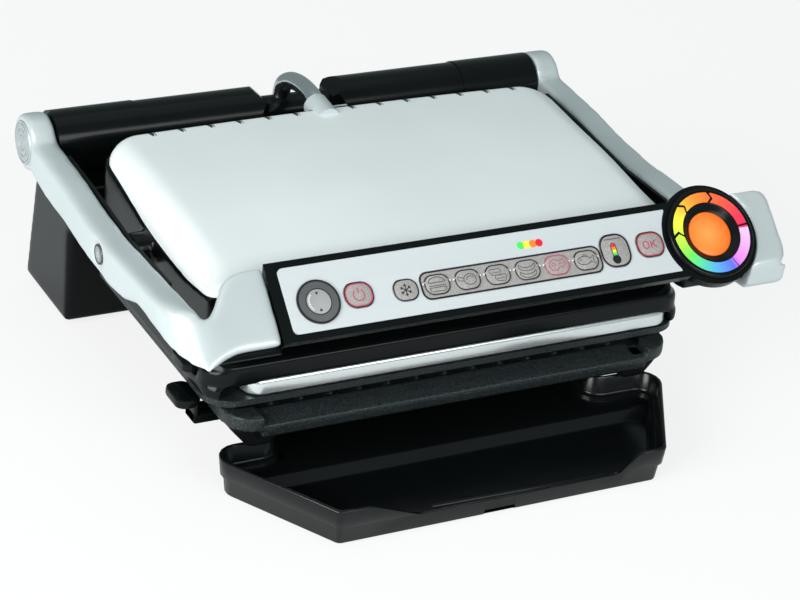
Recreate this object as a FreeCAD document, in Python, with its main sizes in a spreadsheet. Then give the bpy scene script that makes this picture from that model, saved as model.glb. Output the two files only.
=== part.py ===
import FreeCAD, Part
import math
import os
import Sketcher

from FreeCAD import Placement, Rotation, Vector

# Contact grill with a lid frame on two arms, a floating upper plate and a pull-out drip tray.
# Millimetres. X runs left to right, -Y to the front, +Z up, and the table is at Z = 0.
# The pieces are laid out about the middle plane between the arms. The row's origin is the
# middle of the whole footprint, which the longer right handle end moves off that plane.

SIZES = {
    # Lid arms and the main hinge
    "arm_reach": 168.0,
    "arm_width": 16.0,
    "hinge_y": 119.0,
    "hinge_z": 108.4,
    "barrel_radius": 16.3,
    "hinge_pin_radius": 6.0,
    "hinge_pin_length": 34.0,
    "hinge_cap_radius": 12.6,
    "hinge_cap_depth": 2.0,
    "beam_gap_left": 22.0,
    "beam_gap_right": 18.0,
    "beam_seam": 102.0,
    "liner_thickness": 2.0,
    "running_fit": 0.05,
    "side_gap": 0.4,
    # Sloping control panel across the front of the handle
    "panel_y": -98.0,
    "panel_z": 109.5,
    "panel_tilt": 42.2,
    "panel_half_height": 21.6,
    "fascia_length": 55.0,
    "frame_thickness": 6.0,
    "handle_overhang": 22.0,
    "frame_border": 6.0,
    "dial_inset": 22.0,
    "dial_clearance": 22.4,
    "control_half_height": 17.9,
    "control_thickness": 1.2,
    "control_corner": 3.5,
    "print_length": 230.6,
    "print_middle": 8.3,
    "dial_radius": 25.9,
    "dial_seat_radius": 28.7,
    "dial_floor_z": 82.0,
    "cap_floor_z": 78.0,
    "handle_floor_z": 88.0,
    "cap_overlap": 20.0,
    "end_corner": 7.0,
    "corner_radius": 20.0,
    "corner_drop": 30.8,
    "panel_screw_head": 3.2,
    "dial_rise": 3.0,
    "ring_outer": 23.3,
    "ring_inner": 17.4,
    "ring_thickness": 0.6,
    "dome_radius": 12.8,
    "dome_base": 0.8,
    "dome_rise": 1.5,
    "cone_margin": 0.8,
    "emblem_x": -89.3,
    "emblem_v": -2.7,
    "emblem_radius": 11.0,
    "emblem_rise": 0.9,
    "button_rise": 0.5,
    "button_fit": 0.25,
    "button_travel": 0.7,
    "button_corner": 4.0,
    "button_depth": 4.4,
    "board_thickness": 1.6,
    "strip_x": 22.5,
    "strip_v": -3.7,
    "strip_length": 107.0,
    "strip_height": 14.6,
    "strip_corner": 4.0,
    "strip_rise": 0.4,
    "program_x": -22.2,
    "program_pitch": 17.8,
    "program_width": 14.6,
    "program_height": 11.0,
    "power_x": -66.6,
    "power_v": -2.4,
    "power_width": 16.5,
    "power_height": 14.0,
    "frozen_x": -40.2,
    "frozen_v": -3.9,
    "frozen_width": 14.3,
    "frozen_height": 12.0,
    "temperature_x": 86.0,
    "temperature_v": -0.8,
    "temperature_width": 18.0,
    "temperature_height": 19.0,
    "confirm_x": 107.8,
    "confirm_v": -0.5,
    "confirm_width": 17.0,
    "confirm_height": 14.5,
    # Base: rear block, tub, feet and lower plate
    "block_inset": 20.0,
    "block_rear": 163.0,
    "block_front": 96.5,
    "block_top": 92.0,
    "block_lean": 17.0,
    "wall": 2.6,
    "foot_height": 3.0,
    "foot_radius": 7.0,
    "tub_inset": 37.0,
    "tub_slope": 12.0,
    "tub_front": -93.0,
    "tub_rim_z": 37.0,
    "tub_skirt_z": 23.0,
    "tub_belly_z": 27.0,
    "well_floor_z": 13.0,
    "leg_reach": 99.0,
    "leg_width": 12.0,
    "leg_front": -40.0,
    "leg_rear": -12.0,
    "plate_overhang": 1.0,
    "plate_rear": 86.0,
    "plate_front": -101.0,
    "plate_rim_height": 8.0,
    "plate_floor": 3.0,
    "plate_sink": 2.0,
    "plate_corner": 16.0,
    "rib_height": 2.5,
    "rib_width": 3.0,
    "rib_pitch": 17.0,
    "rib_count": 13.0,
    "lip_drop": 5.0,
    "lip_wall": 7.0,
    "element_radius": 3.2,
    "element_inset": 35.0,
    "element_bend": 22.0,
    "lever_y": -62.0,
    "lever_width": 22.0,
    "lever_height": 7.0,
    "lever_proud": 20.0,
    "lever_tab": 14.2,
    "lever_tab_z": 45.5,
    "lever_tongue_z": 33.5,
    "lever_neck": 3.0,
    "lever_tongue": 6.0,
    "lever_travel": 4.0,
    "cord_inlet_radius": 9.0,
    "cord_bore_radius": 4.0,
    "cord_inlet_z": 30.0,
    # Floating upper plate assembly
    "pivot_y": 3.0,
    "pivot_z": 96.0,
    "pivot_radius": 4.0,
    "pivot_head_radius": 5.5,
    "pivot_boss_radius": 9.0,
    "band_top_z": 58.5,
    "upper_lever_z": 67.0,
    "upper_lever_proud": 10.0,
    "cover_crown": 1.5,
    "cover_plan_corner": 20.0,
    "pivot_head_depth": 3.0,
    "arm_gap": 13.0,
    "skirt_width": 3.5,
    "skirt_low_z": 52.0,
    "skirt_top_z": 68.0,
    "press_front": -90.0,
    "press_rear": 79.0,
    "press_waist_y": -77.0,
    "press_toe_top": 73.0,
    "press_corner": 14.0,
    "rim_thickness": 3.5,
    "band_inset": 10.5,
    "band_shift": 3.5,
    "band_corner": 10.0,
    "band_height": 6.5,
    "band_thickness": 1.5,
    "cover_roll": 16.0,
    "cover_rear_roll": 7.0,
    "cover_thickness": 1.0,
    "louvre_pitch": 17.3,
    "louvre_count": 14.0,
    "louvre_width": 1.8,
    "conduit_radius": 4.2,
    "conduit_x": -7.0,
    "core_radius": 9.5,
    # Drip tray
    "tray_shift": -4.0,
    "tray_front": -163.0,
    "tray_shoulder_y": -84.0,
    "tray_rear": -44.0,
    "tray_shoulder": 10.0,
    "tray_taper": 45.0,
    "tray_corner": 12.0,
    "tray_throat": 8.0,
    "tray_front_corner": 5.0,
    "tray_ledge_z": 11.0,
    "tray_ledge": 1.2,
    "tray_draft": 1.4,
    "tray_height": 22.0,
    "tray_wall": 2.4,
    "tray_floor": 2.0,
    "tray_step": 6.0,
    "tray_step_y": -100.0,
    "tray_lift": 0.3,
    "spout_height": 9.0,
    "spout_left": 50.0,
    "spout_left_top": 84.0,
    "spout_right": 62.0,
    "spout_right_top": 75.0,
    # Fasteners
    "screw_radius": 2.0,
    "screw_head_radius": 4.0,
    "screw_length": 9.0,
}


class Size:
    """A length or angle together with the sheet expression that gives it."""

    def __init__(self, value, text):
        self.value = value
        self.text = text

    def _with(self, other, sign):
        other = as_size(other)
        value = {
            "+": self.value + other.value,
            "-": self.value - other.value,
            "*": self.value * other.value,
            "/": self.value / other.value if other.value else 0.0,
        }[sign]
        return Size(value, f"({self.text} {sign} {other.text})")

    def __add__(self, other):
        return self._with(other, "+")

    def __sub__(self, other):
        return self._with(other, "-")

    def __mul__(self, other):
        return self._with(other, "*")

    def __truediv__(self, other):
        return self._with(other, "/")

    def __radd__(self, other):
        return as_size(other) + self

    def __rsub__(self, other):
        return as_size(other) - self

    def __rmul__(self, other):
        return as_size(other) * self

    def __neg__(self):
        return Size(-self.value, f"(-{self.text})")

    def __float__(self):
        return float(self.value)


def as_size(number):
    if isinstance(number, Size):
        return number
    return Size(float(number), f"({float(number)!r})")


def sin(angle):
    return Size(math.sin(math.radians(angle.value)), f"sin({angle.text} * 1deg)")


def cos(angle):
    return Size(math.cos(math.radians(angle.value)), f"cos({angle.text} * 1deg)")


def tan(angle):
    return sin(angle) / cos(angle)


doc = FreeCAD.newDocument("contact_grill")
sheet = doc.addObject("Spreadsheet::Sheet", "Dims")
for row, (alias, number) in enumerate(SIZES.items(), start=1):
    sheet.set(f"A{row}", alias)
    sheet.set(f"B{row}", str(number))
    sheet.setAlias(f"B{row}", alias)
doc.recompute()


class Dims:
    """Named sizes as Size objects."""


for alias in SIZES:
    setattr(Dims, alias, Size(float(sheet.get(alias)), f"Dims.{alias}"))

D = Dims
MIDDLE_X = -D.handle_overhang / 2

# Widths that follow the arms, so that the grill keeps together when its width changes
D.arm_inner = D.arm_reach - D.arm_width
D.press_reach = D.arm_inner - D.arm_gap
D.block_reach = D.arm_reach - D.block_inset
D.tub_reach = D.arm_reach - D.tub_inset
D.tub_foot_reach = D.tub_reach - D.tub_slope
D.plate_reach = D.tub_reach + D.plate_overhang
D.lever_reach = D.tub_reach + D.lever_proud
D.element_reach = D.tub_reach - D.element_inset
D.upper_lever_reach = D.press_reach + D.upper_lever_proud
D.band_reach = D.press_reach - D.band_inset
D.tray_shoulder_reach = D.tub_reach + D.tray_shoulder
D.tray_front_reach = D.tray_shoulder_reach - D.tray_taper
D.tray_tail_reach = D.tray_front_reach
D.panel_left = D.arm_reach - D.fascia_length
D.control_left = D.panel_left - D.frame_border
D.dial_x = D.arm_reach - D.dial_inset
D.end_cap_start = D.dial_x + D.cap_overlap
D.control_right = D.dial_x - D.dial_clearance
D.print_scale = (D.control_left + D.control_right) / D.print_length
D.press_scale = (D.press_rear - D.press_waist_y) / 156
PROGRAMS = 6
PIECES = []


def bind(thing, prop, size):
    """Set a property and tie it to the sheet."""
    size = as_size(size)
    thing.setExpression(prop, size.text)
    return size.value


def place(piece, base=(0, 0, 0), tilt=None):
    """Put a piece in the row frame, with an optional turn about X."""
    turn = Rotation(Vector(1, 0, 0), tilt.value if tilt else 0.0)
    spot = [as_size(part) for part in base]
    spot[0] = spot[0] + MIDDLE_X
    piece.Placement = Placement(Vector(*[part.value for part in spot]), turn)
    for letter, part in zip("xyz", spot):
        piece.setExpression(f"Placement.Base.{letter}", part.text)
    if tilt:
        piece.setExpression("Placement.Rotation.Angle", tilt.text)


def new_body(label, base=(0, 0, 0), tilt=None):
    """A design body with its own label, listed as a piece of the grill."""
    body = doc.addObject("PartDesign::Body", f"{label}_body")
    body.Label = label
    place(body, base, tilt)
    PIECES.append(body)
    return body


PLANES = {"XY": "XY_Plane", "XZ": "XZ_Plane", "YZ": "YZ_Plane"}


def new_sketch(body, plane, start):
    """An empty sketch on one of the body's planes, moved along the plane's normal."""
    sketch = body.newObject("Sketcher::SketchObject", "Sketch")
    role = PLANES[plane]
    origin = next(item for item in body.Origin.OriginFeatures if item.Role == role)
    sketch.AttachmentSupport = [(origin, "")]
    sketch.MapMode = "FlatFace"
    start = -as_size(start) if plane == "XZ" else as_size(start)
    sketch.AttachmentOffset = Placement(Vector(0, 0, start.value), Rotation())
    sketch.setExpression("AttachmentOffset.Base.z", start.text)
    return sketch


def add_loop(sketch, points):
    """A closed loop of straight lines whose corners are tied to the sheet."""
    corners = [(as_size(first), as_size(second)) for first, second in points]
    count = len(corners)
    edges = []
    for index in range(count):
        here = corners[index]
        there = corners[(index + 1) % count]
        line = Part.LineSegment(
            Vector(here[0].value, here[1].value, 0), Vector(there[0].value, there[1].value, 0)
        )
        edges.append(sketch.addGeometry(line, False))
    for index in range(count):
        after = edges[(index + 1) % count]
        sketch.addConstraint(Sketcher.Constraint("Coincident", edges[index], 2, after, 1))
    for index, corner in enumerate(corners):
        for kind, part in zip(("DistanceX", "DistanceY"), corner):
            tie = Sketcher.Constraint(kind, -1, 1, edges[index], 1, part.value)
            number = sketch.addConstraint(tie)
            sketch.setExpression(f"Constraints[{number}]", part.text)


def add_circle(sketch, centre, radius):
    """A circle whose centre and radius are tied to the sheet."""
    across, up, radius = as_size(centre[0]), as_size(centre[1]), as_size(radius)
    circle = Part.Circle(Vector(across.value, up.value, 0), Vector(0, 0, 1), radius.value)
    edge = sketch.addGeometry(circle, False)
    for kind, part in (("DistanceX", across), ("DistanceY", up)):
        number = sketch.addConstraint(Sketcher.Constraint(kind, -1, 1, edge, 3, part.value))
        sketch.setExpression(f"Constraints[{number}]", part.text)
    number = sketch.addConstraint(Sketcher.Constraint("Radius", edge, radius.value))
    sketch.setExpression(f"Constraints[{number}]", radius.text)


def sketch_on(body, plane, start, loops=(), circles=()):
    sketch = new_sketch(body, plane, start)
    for points in loops:
        add_loop(sketch, points)
    for centre, radius in circles:
        add_circle(sketch, centre, radius)
    return sketch


def pad(body, plane, start, end, loops=(), circles=()):
    """Add material between two levels along a plane's axis."""
    start, end = as_size(start), as_size(end)
    sketch = sketch_on(body, plane, start, loops, circles)
    feature = body.newObject("PartDesign::Pad", "Pad")
    feature.Profile = sketch
    feature.setExpression("Length", (end - start).text)
    feature.Reversed = plane == "XZ"
    return feature


def pocket(body, plane, start, end, loops=(), circles=()):
    """Remove material between two levels along a plane's axis, and check that it cuts."""
    doc.recompute()
    before = body.Shape.Volume
    start, end = as_size(start), as_size(end)
    sketch = sketch_on(body, plane, start, loops, circles)
    feature = body.newObject("PartDesign::Pocket", "Pocket")
    feature.Profile = sketch
    feature.setExpression("Length", (end - start).text)
    feature.Reversed = plane != "XZ"
    doc.recompute()
    if not body.Shape.Volume < before - 0.001:
        raise RuntimeError(f"{body.Label}: a pocket cuts nothing")
    return feature


def edges_where(shape, test):
    """Names of the edges whose end points pass a test."""
    names = []
    for number, edge in enumerate(shape.Edges, start=1):
        ends = [vertex.Point for vertex in edge.Vertexes]
        if len(ends) == 2 and test(ends[0], ends[1]):
            names.append(f"Edge{number}")
    return names


def fillet(body, radius, test):
    """Round the straight edges of a body that pass a test, in the body's own frame."""
    doc.recompute()
    tip = body.Tip
    names = edges_where(tip.Shape, test)
    feature = body.newObject("PartDesign::Fillet", "Fillet")
    feature.Base = (tip, names)
    feature.setExpression("Radius", as_size(radius).text)
    doc.recompute()
    return feature


def upright(first, last):
    return abs(first.x - last.x) < 1e-4 and abs(first.y - last.y) < 1e-4


def rectangle(left, right, low, high):
    return [(left, low), (right, low), (right, high), (left, high)]


def rounded_box(body, left, right, front, rear, low, high, corner):
    """A pad with four rounded upright corners."""
    pad(body, "XY", low, high, [rectangle(left, right, front, rear)])
    fillet(body, corner, upright)


def cylinder(label, centre, radius, length, axis="X"):
    """A plain cylinder along an axis, starting at its centre point."""
    item = doc.addObject("Part::Cylinder", label)
    item.Label = label
    item.setExpression("Radius", as_size(radius).text)
    item.setExpression("Height", as_size(length).text)
    turn = {"X": Rotation(Vector(0, 1, 0), 90), "Y": Rotation(Vector(1, 0, 0), -90), "Z": Rotation()}
    spot = [as_size(part) for part in centre]
    spot[0] = spot[0] + MIDDLE_X
    item.Placement = Placement(Vector(*[part.value for part in spot]), turn[axis])
    for letter, part in zip("xyz", spot):
        item.setExpression(f"Placement.Base.{letter}", part.text)
    return item


def keep(item):
    PIECES.append(item)
    return item


def fuse(label, items):
    joined = doc.addObject("Part::MultiFuse", label)
    joined.Label = label
    joined.Shapes = items
    return joined


def free_shape(label, shape):
    """A piece whose freeform solid is worked out from the sheet's values."""
    feature = doc.addObject("Part::Feature", label)
    feature.Label = label
    feature.Shape = shape
    place(feature)
    PIECES.append(feature)
    return feature


# Base


def wire_window():
    """Opening through which the wires pass from the block into the tub."""
    half = D.tub_reach - 71
    return rectangle(-half, half, D.tub_rim_z - 12, D.tub_rim_z - 4)


def make_rear_housing():
    """Hollow block at the back that carries the hinge and stands on the table."""
    body = new_body("rear_housing")
    outline = [
        (D.block_front, D.foot_height),
        (D.block_rear, D.foot_height),
        (D.block_rear - D.block_lean, D.block_top),
        (D.block_front - 12, D.block_top),
        (D.block_front - 12, D.block_top - 20),
        (D.block_front, D.block_top - 32),
    ]
    pad(body, "YZ", -D.block_reach, D.block_reach, [outline])
    inside = D.block_reach - D.wall
    front = D.block_front + D.wall
    roof = D.block_top - D.wall
    hollow = [
        (front, D.foot_height),
        (D.block_rear - D.wall, D.foot_height),
        (D.block_rear - D.block_lean - D.wall, roof),
        (front, roof),
    ]
    pocket(body, "YZ", -inside, inside, [hollow])
    slot = rectangle(-D.beam_gap_left + 4, D.beam_gap_right - 4, D.hinge_y - 11, D.hinge_y + 13)
    pocket(body, "XY", roof - 1, D.block_top, [slot])
    pocket(body, "XZ", front + 1, D.block_front - 1, [wire_window()])
    inlet = [((-D.block_reach / 2, D.cord_inlet_z), D.cord_inlet_radius)]
    pocket(body, "XZ", D.block_rear, D.hinge_y, circles=inlet)


def make_base_cover():
    """Flat cover that closes the rear block from below."""
    body = new_body("base_cover")
    inside = D.block_reach - D.wall - D.button_fit
    front = D.block_front + D.wall + D.button_fit
    back = D.block_rear - D.wall - 3 * D.button_fit
    pad(
        body,
        "XY",
        D.foot_height,
        D.foot_height + D.wall,
        [rectangle(-inside, inside, front, back)],
    )


def make_lower_tub():
    """Open tub in front of the block, with a raised belly that leaves room for the tray."""
    body = new_body("lower_tub")
    skirt = D.tub_foot_reach
    inner_skirt = skirt - 12
    section = [
        (-D.tub_reach, D.tub_rim_z),
        (-skirt, D.tub_skirt_z),
        (-inner_skirt, D.tub_skirt_z),
        (-(inner_skirt - 3), D.tub_belly_z),
        (inner_skirt - 3, D.tub_belly_z),
        (inner_skirt, D.tub_skirt_z),
        (skirt, D.tub_skirt_z),
        (D.tub_reach, D.tub_rim_z),
    ]
    pad(body, "XZ", D.block_front, D.tub_front, [section])
    deep = inner_skirt - 3
    well_floor = D.well_floor_z
    pad(
        body,
        "XY",
        well_floor,
        D.tub_belly_z,
        [rectangle(-deep, deep, D.leg_front, D.block_front)],
    )
    front, back = D.tub_front + D.wall, D.block_front - D.wall
    hollow = [
        (-(D.tub_reach - D.wall), D.tub_rim_z),
        (-(skirt - 5), D.tub_belly_z + D.wall),
        (skirt - 5, D.tub_belly_z + D.wall),
        (D.tub_reach - D.wall, D.tub_rim_z),
    ]
    pocket(body, "XZ", back, front, [hollow])
    well = rectangle(-(deep - D.wall), deep - D.wall, D.leg_front + D.wall, back)
    pocket(body, "XY", well_floor + D.wall, D.tub_belly_z + D.wall + 1, [well])
    pocket(body, "XZ", D.block_front + 1, back - 1, [wire_window()])
    lever_slot = rectangle(
        D.lever_y - D.lever_width / 2 - D.side_gap,
        D.lever_y + D.lever_width / 2 + D.side_gap,
        D.lever_tongue_z - D.lever_tongue - D.side_gap,
        D.lever_tongue_z + D.side_gap,
    )
    pocket(body, "YZ", -D.tub_reach, -(skirt - 8), [lever_slot])
    for side in (-1, 1):
        outer = D.leg_reach * side
        inner = (D.leg_reach - D.leg_width) * side
        ends = (outer, inner) if side < 0 else (inner, outer)
        pad(
            body,
            "XY",
            D.foot_height,
            well_floor,
            [rectangle(ends[0], ends[1], D.leg_front, D.leg_rear)],
        )


def foot_spots():
    """Centres of the feet: two under the front legs and two under the block."""
    front = (D.leg_reach - D.leg_width / 2, (D.leg_front + D.leg_rear) / 2)
    rear = (D.block_reach - 3 * D.foot_radius, D.hinge_y)
    return [(side * spot[0], spot[1]) for spot in (front, rear) for side in (-1, 1)]


def make_feet():
    """Round rubber pads, each a separate solid."""
    items = []
    for number, (across, along) in enumerate(foot_spots(), start=1):
        radius = D.leg_width / 2 if number < 3 else D.foot_radius
        spot = (across, along, 0)
        items.append(cylinder(f"foot_{number}", spot, radius, D.foot_height, "Z"))
    compound = doc.addObject("Part::Compound", "rubber_feet")
    compound.Label = "rubber_feet"
    compound.Links = items
    keep(compound)


def beam_section(body, start, end, radius):
    """A round beam with a flat foot that stands on the block."""
    axis = (D.hinge_y, D.hinge_z)
    pad(body, "YZ", start, end, circles=[(axis, radius)])
    half = radius * 0.92
    foot = rectangle(D.hinge_y - half, D.hinge_y + half, D.block_top, D.hinge_z - radius * 0.3)
    pad(body, "YZ", start, end, [foot])


def make_hinge_sleeves():
    """Outer ends of the hinge beam, bored for the hinge pins."""
    for side, name in ((-1, "hinge_sleeve_left"), (1, "hinge_sleeve_right")):
        body = new_body(name)
        outer = D.arm_reach - D.arm_width - D.side_gap
        ends = (-outer, -D.beam_seam) if side < 0 else (D.beam_seam, outer)
        beam_section(body, ends[0], ends[1], D.barrel_radius)
        axis = (D.hinge_y, D.hinge_z)
        bore = D.hinge_pin_radius + D.running_fit
        pocket(body, "YZ", ends[0], ends[1], circles=[(axis, bore)])


def make_hinge_beams():
    """Inner lengths of the hinge beam, hollow, with a closed end at the gap."""
    for side, name, gap in (
        (-1, "hinge_beam_left", D.beam_gap_left),
        (1, "hinge_beam_right", D.beam_gap_right),
    ):
        body = new_body(name)
        ends = (-D.beam_seam, -gap) if side < 0 else (gap, D.beam_seam)
        radius = D.barrel_radius - 0.5
        beam_section(body, ends[0], ends[1], radius)
        taper = 9
        tip = (-gap - taper, -gap) if side < 0 else (gap + taper, gap)
        low, high = D.hinge_z - radius - 1, D.hinge_z + radius + 1
        front, rear = D.hinge_y - radius - 1, D.hinge_y + radius + 1
        above = [(tip[0], high), (tip[1], high - 8), (tip[1], high + 1), (tip[0], high + 1)]
        pocket(body, "XZ", front, rear, [above])
        for edge, inward in ((front, 8), (rear, -8)):
            beyond = edge - (1 if inward > 0 else -1)
            wedge = [(tip[0], edge), (tip[1], edge + inward), (tip[1], beyond), (tip[0], beyond)]
            pocket(body, "XY", low, high, [wedge])
        depth = D.wall * 3 + taper
        bore = (ends[0], ends[1] - depth) if side < 0 else (ends[0] + depth, ends[1])
        pocket(body, "YZ", bore[0], bore[1], circles=[((D.hinge_y, D.hinge_z), radius - D.wall)])


def make_hinge_core():
    """Round core between the two beams, round which the conduit turns."""
    spot = (-D.beam_gap_left, D.hinge_y, D.hinge_z)
    keep(cylinder("hinge_core", spot, D.core_radius, D.beam_gap_left + D.beam_gap_right))


def make_hinge_pins():
    """Steel pins held in the sleeves, on which the arms turn."""
    for side, name in ((-1, "hinge_pin_left"), (1, "hinge_pin_right")):
        tip = D.arm_reach - D.hinge_cap_depth - 2
        start = -tip if side < 0 else tip - D.hinge_pin_length
        spot = (start, D.hinge_y, D.hinge_z)
        keep(cylinder(name, spot, D.hinge_pin_radius, D.hinge_pin_length))


def make_cord_inlet():
    """Bushing for the supply lead in the back wall."""
    body = new_body("cord_inlet")
    lean = D.block_lean / (D.block_top - D.foot_height)
    centre = (-D.block_reach / 2, D.cord_inlet_z)
    level = D.cord_inlet_z - D.foot_height
    face = D.block_rear - lean * level
    flange = D.block_rear - D.wall - D.side_gap - lean * (level + D.cord_inlet_radius + 3)
    tube = [(centre, D.cord_inlet_radius - D.running_fit)]
    pad(body, "XZ", face - 1, flange - D.wall, circles=tube)
    rim = [(centre, D.cord_inlet_radius + 3)]
    pad(body, "XZ", flange, flange - D.wall, circles=rim)
    pocket(body, "XZ", D.block_rear, flange - D.wall, circles=[(centre, D.cord_bore_radius)])


def make_power_board():
    """Circuit board with its relay, on the base cover inside the block."""
    body = new_body("power_board")
    top = D.foot_height + D.wall
    front = D.block_front + 2 * D.wall
    back = D.block_rear - D.block_lean - 3 * D.wall
    pad(body, "XY", top + 4, top + 4 + D.board_thickness, [rectangle(-20, 60, front, back)])
    above = top + 4 + D.board_thickness
    pad(body, "XY", above, above + 16, [rectangle(26, 46, front + 8, front + 24)])
    posts = [((across, along), 2.5) for across in (-15, 55) for along in (front + 5, back - 5)]
    pad(body, "XY", top, top + 4, circles=posts)


def sweep_along(points, bend, radius):
    """A round bar along straight runs joined by tangent arcs, at one height."""
    edges = []
    start = Vector(*points[0])
    for index in range(1, len(points) - 1):
        corner = Vector(*points[index])
        back = (Vector(*points[index - 1]) - corner).normalize()
        ahead = (Vector(*points[index + 1]) - corner).normalize()
        half = back.getAngle(ahead) / 2
        reach = bend / math.tan(half)
        first = corner + back * reach
        last = corner + ahead * reach
        middle_way = (back + ahead).normalize()
        middle = corner + middle_way * (bend / math.sin(half) - bend)
        edges.append(Part.LineSegment(start, first).toShape())
        edges.append(Part.Arc(first, middle, last).toShape())
        start = last
    edges.append(Part.LineSegment(start, Vector(*points[-1])).toShape())
    path = Part.Wire(edges)
    heading = (Vector(*points[1]) - Vector(*points[0])).normalize()
    ring = Part.Wire([Part.Circle(Vector(*points[0]), heading, radius).toShape()])
    return path.makePipeShell([ring], True, False)


def element_bar(level, front, back):
    """A double loop of heating bar with both cold ends at the back."""
    reach = D.element_reach.value
    inner = 2 * D.element_bend.value - 8
    bend = D.element_bend.value / 2
    points = [
        (-inner, back, level),
        (-inner, front + 2 * bend + 14, level),
        (-reach, front + 2 * bend + 14, level),
        (-reach, front, level),
        (reach, front, level),
        (reach, front + 2 * bend + 14, level),
        (inner, front + 2 * bend + 14, level),
        (inner, back, level),
    ]
    return sweep_along(points, bend, D.element_radius.value)


def make_lower_heater():
    """Heating bar and the reflector pan under it, in the tub's well."""
    deep = D.tub_foot_reach - 15 - D.wall - 1
    floor = D.well_floor_z + D.wall
    body = new_body("lower_reflector")
    front, back = D.leg_front + D.wall + 1, D.block_front - D.wall - 1
    pad(body, "XY", floor, floor + 6, [rectangle(-deep, deep, front, back)])
    pocket(
        body,
        "XY",
        floor + 1,
        floor + 6,
        [rectangle(-(deep - 1), deep - 1, front + 1, back - 1)],
    )
    level = (D.tub_rim_z - D.plate_floor - D.element_radius).value - 0.4
    front_y = (D.leg_front + 20).value
    back_y = (D.block_front - 10).value
    free_shape("lower_element", element_bar(level, front_y, back_y))


def make_temperature_sensor():
    """Probe under the middle of the lower plate, on the reflector."""
    floor = D.well_floor_z + D.wall + 1
    top = D.tub_rim_z - D.plate_floor - D.side_gap
    body = new_body("temperature_sensor")
    pad(body, "XY", floor, floor + 5, circles=[((0, 40), 9)])
    pad(body, "XY", floor + 5, top, circles=[((0, 40), 4)])


def make_lower_plate():
    """Cast lower plate with ribs, a raised rim and a sloping front lip."""
    body = new_body("lower_plate")
    rim_top = D.tub_rim_z + D.plate_rim_height
    front = D.tub_front - D.side_gap
    rounded_box(
        body,
        -D.plate_reach,
        D.plate_reach,
        D.plate_front,
        D.plate_rear,
        D.tub_rim_z,
        rim_top,
        D.plate_corner,
    )
    land = D.plate_reach - 7
    surface = D.tub_rim_z + D.plate_sink
    pocket(
        body,
        "XY",
        surface,
        rim_top,
        [rectangle(-land, land, D.plate_front + 14, D.plate_rear - 6)],
    )
    slab = D.tub_foot_reach - 9
    pad(
        body,
        "XY",
        D.tub_rim_z - D.plate_floor,
        D.tub_rim_z + 0.5,
        [rectangle(-slab, slab, D.tub_front + 2 * D.wall, D.plate_rear - 4)],
    )
    apron_low = rim_top - D.lip_drop
    lip_reach = D.plate_reach - D.plate_corner - 1
    slope = [
        (D.plate_front - 1, apron_low),
        (D.plate_front + 15, rim_top - 1),
        (D.plate_front + 15, rim_top + 1),
        (D.plate_front - 1, rim_top + 1),
    ]
    pocket(body, "YZ", -lip_reach, lip_reach, [slope])
    wall = [
        (D.plate_front, D.tub_rim_z + 1),
        (D.plate_front + 1, apron_low - D.lip_wall),
        (front, apron_low - D.lip_wall),
        (front, D.tub_rim_z + 1),
    ]
    pad(body, "YZ", -lip_reach, lip_reach, [wall])
    ribs = []
    rib_front, rib_back = D.plate_front + 20, D.plate_rear - 12
    count = int(D.rib_count.value)
    for index in range(count):
        middle = (index - (count - 1) / 2) * D.rib_pitch
        ribs.append(
            rectangle(middle - D.rib_width / 2, middle + D.rib_width / 2, rib_front, rib_back)
        )
    pad(body, "XY", surface - 0.5, surface + D.rib_height, ribs)
    drain = rectangle(D.plate_reach - 24, D.plate_reach - 15, D.plate_front + 4, D.plate_front + 16)
    pocket(body, "XY", surface - 2, rim_top, [drain])


def make_release_lever(label, level, height, reach, root):
    """Sliding tongue that frees a plate when it is pressed inwards."""
    body = new_body(label)
    half = D.lever_width / 2
    outline = rectangle(-reach, -root, D.lever_y - half, D.lever_y + half)
    pad(body, "XY", level - height, level, [outline])
    fillet(body, 5, lambda a, b: upright(a, b) and a.x < -reach.value + 0.1)
    return body


def make_lower_lever():
    """Tongue under the plate, with a neck up to a flat tab outside the tub."""
    root = D.tub_foot_reach - 4
    reach, height = D.lever_reach, D.lever_height
    top, tab = D.lever_tongue_z, D.lever_tab_z
    low = top - D.lever_tongue
    inner = D.lever_tab - reach
    body = make_release_lever("lower_release_lever", tab, height, reach, -inner)
    near, far = D.lever_y - D.lever_width / 2, D.lever_y + D.lever_width / 2
    pad(body, "XY", low, tab - height, [rectangle(inner - D.lever_neck, inner, near, far)])
    pad(body, "XY", low, top, [rectangle(inner - 1, -root, near, far)])


# Drip tray


def rounded_outline(corners):
    """Closed outline from corners that each have a radius; a radius of 0 keeps the corner."""
    count = len(corners)
    outline = []
    for index, (across, along, radius) in enumerate(corners):
        if radius.value < 0.1:
            outline.append((across, along))
            continue
        here = Vector(across.value, along.value, 0)
        before, after = corners[index - 1], corners[(index + 1) % count]
        back = (Vector(before[0].value, before[1].value, 0) - here).normalize()
        ahead = (Vector(after[0].value, after[1].value, 0) - here).normalize()
        half = back.getAngle(ahead) / 2
        middle = (back + ahead).normalize() * (radius.value / math.sin(half))
        first = back * (radius.value / math.tan(half)) - middle
        sweep = Rotation(first, ahead * (radius.value / math.tan(half)) - middle)
        steps = 5
        for step in range(steps + 1):
            turn = Rotation(sweep.Axis, math.degrees(sweep.Angle) * step / steps)
            spot = middle + turn.multVec(first)
            outline.append((across + spot.x, along + spot.y))
    return outline


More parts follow.
